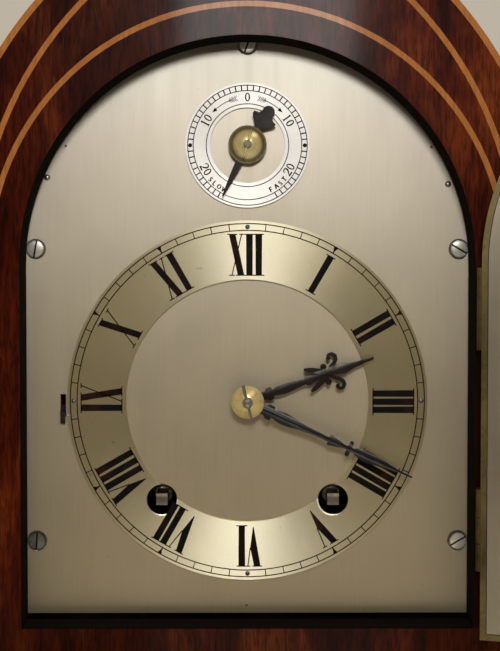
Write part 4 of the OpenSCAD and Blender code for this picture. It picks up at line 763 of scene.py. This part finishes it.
def curve(points, widths, h, t):
    """A run of short strokes. The points are shares of the height h, and their widths are shares of t."""
    spots = [(u * h, v * h) for u, v in points]
    wide = [w * t for w in widths]
    return [stroke(p, q, a, b) for p, q, a, b in zip(spots, spots[1:], wide, wide[1:])]


def oval(w, h, thick, thin, steps=26):
    """A letter O: thick at its sides and thin at its head and foot, as a ring of four-sided parts."""
    out, inner = circle(w / 2, h / 2, steps), circle(w / 2 - thick, h / 2 - thin, steps)
    return [[out[i], out[(i + 1) % steps], inner[(i + 1) % steps], inner[i]] for i in range(steps)]


def glyph(c, h, bold):
    """Outlines of one figure or letter, its middle at 0, 0 and its height h."""
    t, hw = bold, h / 2
    if c == "0":
        return oval(0.60 * h, h, t * 0.92, t * 0.75)
    if c == "O":
        return oval(0.95 * h, h, t, t * 0.8)
    if c == "1":
        return [stroke((0, -hw), (0, hw), t), stroke((-0.16 * h, -hw), (0.16 * h, -hw), t * 0.5),
                stroke((0, hw), (-0.14 * h, hw * 0.62), t * 0.6, t * 0.3)]
    if c == "2":
        pts = [(-0.26, 0.22), (-0.2, 0.40), (0, 0.49), (0.2, 0.40), (0.25, 0.22), (0.12, -0.04),
               (-0.12, -0.28), (-0.28, -0.46)]
        foot = stroke((-0.3 * h, -0.44 * h), (0.28 * h, -0.44 * h), t, t * 0.9)
        return curve(pts, (0.8, 0.7, 0.7, 1, 1.15, 1, 0.6, 0.5), h, t) + [foot]
    if c == "S":
        pts = [(0.24, 0.34), (0.08, 0.46), (-0.14, 0.42), (-0.22, 0.24), (-0.08, 0.07), (0.12, -0.06),
               (0.24, -0.24), (0.12, -0.42), (-0.1, -0.46), (-0.26, -0.34)]
        return curve(pts, (0.7, 0.7, 0.8, 1, 1.1, 1.1, 1, 0.8, 0.7, 0.7), h, t)
    lines = {"L": [(-0.2, 0.5, -0.2, -0.5), (-0.2, -0.47, 0.28, -0.47)],
             "F": [(-0.22, 0.5, -0.22, -0.5), (-0.22, 0.47, 0.28, 0.47), (-0.22, 0.03, 0.16, 0.03)],
             "T": [(0, 0.5, 0, -0.5), (-0.36, 0.47, 0.36, 0.47)],
             "A": [(-0.38, -0.5, 0, 0.5), (0.38, -0.5, 0, 0.5), (-0.24, -0.14, 0.24, -0.14)],
             "W": [(-0.5, 0.5, -0.26, -0.5), (-0.26, -0.5, 0, 0.4), (0, 0.4, 0.26, -0.5),
                   (0.26, -0.5, 0.5, 0.5)]}
    return [stroke((a * h, b * h), (p * h, q * h), t) for a, b, p, q in lines[c]]


def lettered(piece, c, angle, r, h, bold, outwards=True):
    """A figure on the regulator ring, with its head outwards or towards the middle."""
    for shape in glyph(c, h, bold):
        pts = [(u, v + r) if outwards else (-u, r - v) for u, v in shape]
        piece.prism(placed(REG, angle, pts), REGULATOR_Y - FACE, INK)


for text, angle, outwards in (("0", 0, True), ("10", -59, True), ("10", 59, True), ("20", -120, False),
                              ("20", 120, False)):
    step = FIGURE_STEP if outwards else -FIGURE_STEP
    for i, c in enumerate(text):
        lettered(reg, c, angle + (i - (len(text) - 1) / 2) * step, FIGURE_R, FIGURE_H, FIGURE_BOLD, outwards)
for text, angles in (("SLOW", (-132.7, -139, -145.5, -152.5)), ("FAST", (151.8, 144.7, 138.9, 132.4))):
    for c, a in zip(text, angles):
        lettered(reg, c, a, WORD_R, WORD_H, WORD_BOLD, False)

# Two feathered arrows, one to each side of the nought
for side in (-1, 1):
    start, end = sorted((side * ARROW_FROM, side * ARROW_TO))
    reg.arc(REG, ARROW_R - ARROW_LINE, ARROW_R + ARROW_LINE, start, end, REGULATOR_Y - FACE, INK, 14)
    head = [(u, v + ARROW_R - 0.05) for u, v in ((0, 0.75), (2.0 * side, 0), (0, -0.75))]
    reg.prism(placed(REG, side * (ARROW_TO - 2), head), REGULATOR_Y - FACE, INK)
    for a in (15, 17, 19, 21, 23):
        for up in (-1, 1):
            feather = stroke((0, 0), (-0.9 * side, up), 0.26, 0.16)
            reg.prism(placed(REG, side * a, [(u, v + ARROW_R) for u, v in feather]), REGULATOR_Y - FACE, INK)
reg.done(wax)

# Pins and dots on the dial plate

PIN_R = 1.25
PIN_SHAPE = [(0, -0.9), (PIN_R * 0.5, -0.8), (PIN_R * 0.87, -0.45), (PIN_R, 0.1)]
pins = Piece("dial_pins")
for x, z in ((-77.4, 86.5), (77.6, 84.0)):
    pins.lathe((x, CENTRE_Z + z), DIAL_Y, PIN_SHAPE)
pins.done(steel, smooth=True)

dots = Piece("dial_dots")
for x, z in ((-70.2, 98.6), (71.1, 98.3), (-0.35, -80.1)):
    dots.lathe((x, CENTRE_Z + z), DIAL_Y, [(0, -0.16), (0.45, -0.12), (0.62, 0.1)], 16)
dots.done(steel_dark, smooth=True)

slot_pin = Piece("slot_pin")
slot_pin.lathe((-69.6, CENTRE_Z - 5.4), CHAPTER_Y, [(0, -0.3), (0.3, -0.25), (0.5, 0.1)], 16)
slot_pin.done(ivory, smooth=True)

# Screws of the hinges and the movement

BACK_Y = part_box("back_frame")[1][1] / MM
FRONT_Y = front_of("front_board")
LEAF_THICK = 0.9
BACK_HINGE_X, FRONT_HINGE_X = arbor_of("back_door")[0], arbor_of("front_door")[0]
BACK_HINGE_TOPS = (SPRING_Z - 20, 118)
FRONT_HINGE_TOPS = (SPRING_Z - 1.4, SPRING_Z - 84)
# How far the screws lie beside the line of the hinge, and below the top of its leaf
BACK_ASIDE, BACK_DOWN = 6.7, (5.5, 28.5)
FRONT_ASIDE, FRONT_DOWN = 5.6, (5, 25.6)
fixed = Piece("hinge_screws")
moving = Piece("back_door_screws")
for n, top in enumerate(BACK_HINGE_TOPS):
    for k, down in enumerate(BACK_DOWN):
        z = top - down
        fixed.screw((BACK_HINGE_X + BACK_ASIDE, z), BACK_Y + LEAF_THICK, 1.7, 0.7, 20 + 40 * k + 30 * n, 1)
        moving.screw((BACK_HINGE_X - BACK_ASIDE, z), BACK_Y + LEAF_THICK, 1.7, 0.7, 75 - 35 * k + 20 * n, 1)
for top in FRONT_HINGE_TOPS:
    for down in FRONT_DOWN:
        fixed.screw((FRONT_HINGE_X + FRONT_ASIDE, top - down), FRONT_Y - LEAF_THICK, 1.3, 0.5, 40, -1)
fixed.done(brass, bevel=0.08)
moving.done(brass, "back_door", bevel=0.08)

PLATE_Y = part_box("back_plate")[1][1] / MM
COCK_THICK = 3
# Places of the screws from the hands' arbor: two on the cock, four on the plate
COCK_SCREW_X, COCK_SCREW_UP = 6.5, 65.5
PLATE_SCREW_X, PLATE_SCREWS_DOWN = 40, (40, 16)
screws = Piece("movement_screws")
for side in (-1, 1):
    cock_place = (side * COCK_SCREW_X, CENTRE_Z + COCK_SCREW_UP)
    screws.screw(cock_place, PLATE_Y + COCK_THICK, 2.0, 1.2, 30 * side, 1)
    for down in PLATE_SCREWS_DOWN:
        screws.screw((side * PLATE_SCREW_X, CENTRE_Z - down), PLATE_Y, 1.6, 0.9, 50 * side + 60 - down, 1)
screws.done(blued, bevel=0.1)

# Soft edges on the solids that catch the light

EDGES = {"front_board": 0.35, "plinth": 0.6, "back_door_catch": 0.15, "hour_hand": 0.18, "minute_hand": 0.18,
         "regulator_hand": 0.14, "chapter_ring": 0.22, "regulator_ring": 0.2, "dial_screws": 0.15,
         "front_plate": 0.3, "back_plate": 0.3, "gong_block": 0.6}
for name, width in EDGES.items():
    mod = nodes[name].modifiers.new("edge", "BEVEL")
    mod.width = width * MM
    mod.segments = 2
    mod.limit_method = "ANGLE"
    mod.angle_limit = math.radians(50)

# Floor, light and camera

floor_mesh = bpy.data.meshes.new("studio_floor")
floor_mesh.from_pydata([(-3, -3, 0), (3, -3, 0), (3, 3, 0), (-3, 3, 0)], [], [(0, 1, 2, 3)])
floor = bpy.data.objects.new("studio_floor", floor_mesh)
bpy.context.scene.collection.objects.link(floor)
floor_mat = Material("floor_pale", (0.74, 0.67, 0.56), 0.0, 0.7)
floor_mesh.materials.append(floor_mat.mat)


def area_light(name, place, target, size, power, colour=(1, 1, 1)):
    data = bpy.data.lights.new(name, "AREA")
    data.shape = "RECTANGLE"
    data.size, data.size_y = size
    data.energy = power
    data.color = colour
    obj = bpy.data.objects.new(name, data)
    bpy.context.scene.collection.objects.link(obj)
    obj.location = place
    direction = [t - p for t, p in zip(target, place)]
    horizontal = math.hypot(direction[0], direction[1])
    heading = math.atan2(direction[1], direction[0])
    obj.visible_camera = False
    obj.rotation_euler = (math.atan2(horizontal, -direction[2]), 0, heading - math.pi / 2)


TARGET = (0.0, -0.06, 0.24)
area_light("key", (0.020, -0.70, 0.470), TARGET, (0.15, 0.11), 1.39, (1.0, 0.99, 0.96))
area_light("table_glow", (0.02, -0.34, 0.02), (0.0, -0.06, 0.11), (0.16, 0.04), 0.018, (1.0, 0.93, 0.80))
area_light("high_right", (0.60, -1.15, 1.30), TARGET, (0.50, 0.40), 1.6, (1.0, 0.88, 0.72))
area_light("fill_left", (-1.3, -0.9, 0.55), TARGET, (0.8, 0.8), 0.6, (1.0, 0.82, 0.58))
area_light("back", (0.5, 1.5, 1.1), TARGET, (0.9, 0.9), 16.0)

# A plain wall for the camera, a gradient for what the metal mirrors, and a faint even light on the object
WALL = (0.503, 0.445, 0.361)
world = bpy.data.worlds.new("studio")
bpy.context.scene.world = world
world.use_nodes = True
sky = Nodes(world.node_tree)
direction = sky.node("ShaderNodeTexCoord").outputs["Generated"]
heading = sky.node("ShaderNodeSeparateXYZ", Vector=direction).outputs
lean = sky.math("ADD", sky.math("MULTIPLY", heading[2], 0.9), heading[1])
level = sky.node("ShaderNodeMapRange", Value=lean, From_Min=-1.2, From_Max=1.2).outputs[0]
mirrored = sky.ramp(level, ((0.0, (0.034, 0.020, 0.010)), (0.20, (0.060, 0.038, 0.020)),
                            (0.55, (0.24, 0.18, 0.12)), (0.78, WALL)))
rays = sky.node("ShaderNodeLightPath").outputs
wall = sky.mix(rays["Is Camera Ray"], mirrored, WALL)
seen = sky.node("ShaderNodeBackground", Color=wall, Strength=1.0)
lit = sky.node("ShaderNodeBackground", Color=(1.0, 0.82, 0.60, 1), Strength=0.11)
is_seen = sky.math("MAXIMUM", rays["Is Camera Ray"], rays["Is Glossy Ray"])
is_seen = sky.math("MAXIMUM", is_seen, rays["Is Transmission Ray"])
mixer = sky.node("ShaderNodeMixShader", Fac=is_seen)
sky.link(lit.outputs[0], mixer.inputs[1])
sky.link(seen.outputs[0], mixer.inputs[2])
sky.node("ShaderNodeOutputWorld", Surface=mixer.outputs[0])

camera_data = bpy.data.cameras.new("camera")
camera = bpy.data.objects.new("camera", camera_data)
bpy.context.scene.collection.objects.link(camera)
camera.location = (-0.00162, -0.54084, (SPRING_Z - 8.44) * MM)
camera.rotation_euler = (math.radians(90 - 1.79), 0, math.radians(-0.309))
camera_data.sensor_fit = "HORIZONTAL"
camera_data.sensor_width = 36
camera_data.lens = 89.24
camera_data.clip_start = 0.01
bpy.context.scene.camera = camera
bpy.context.scene.view_settings.view_transform = "Standard"
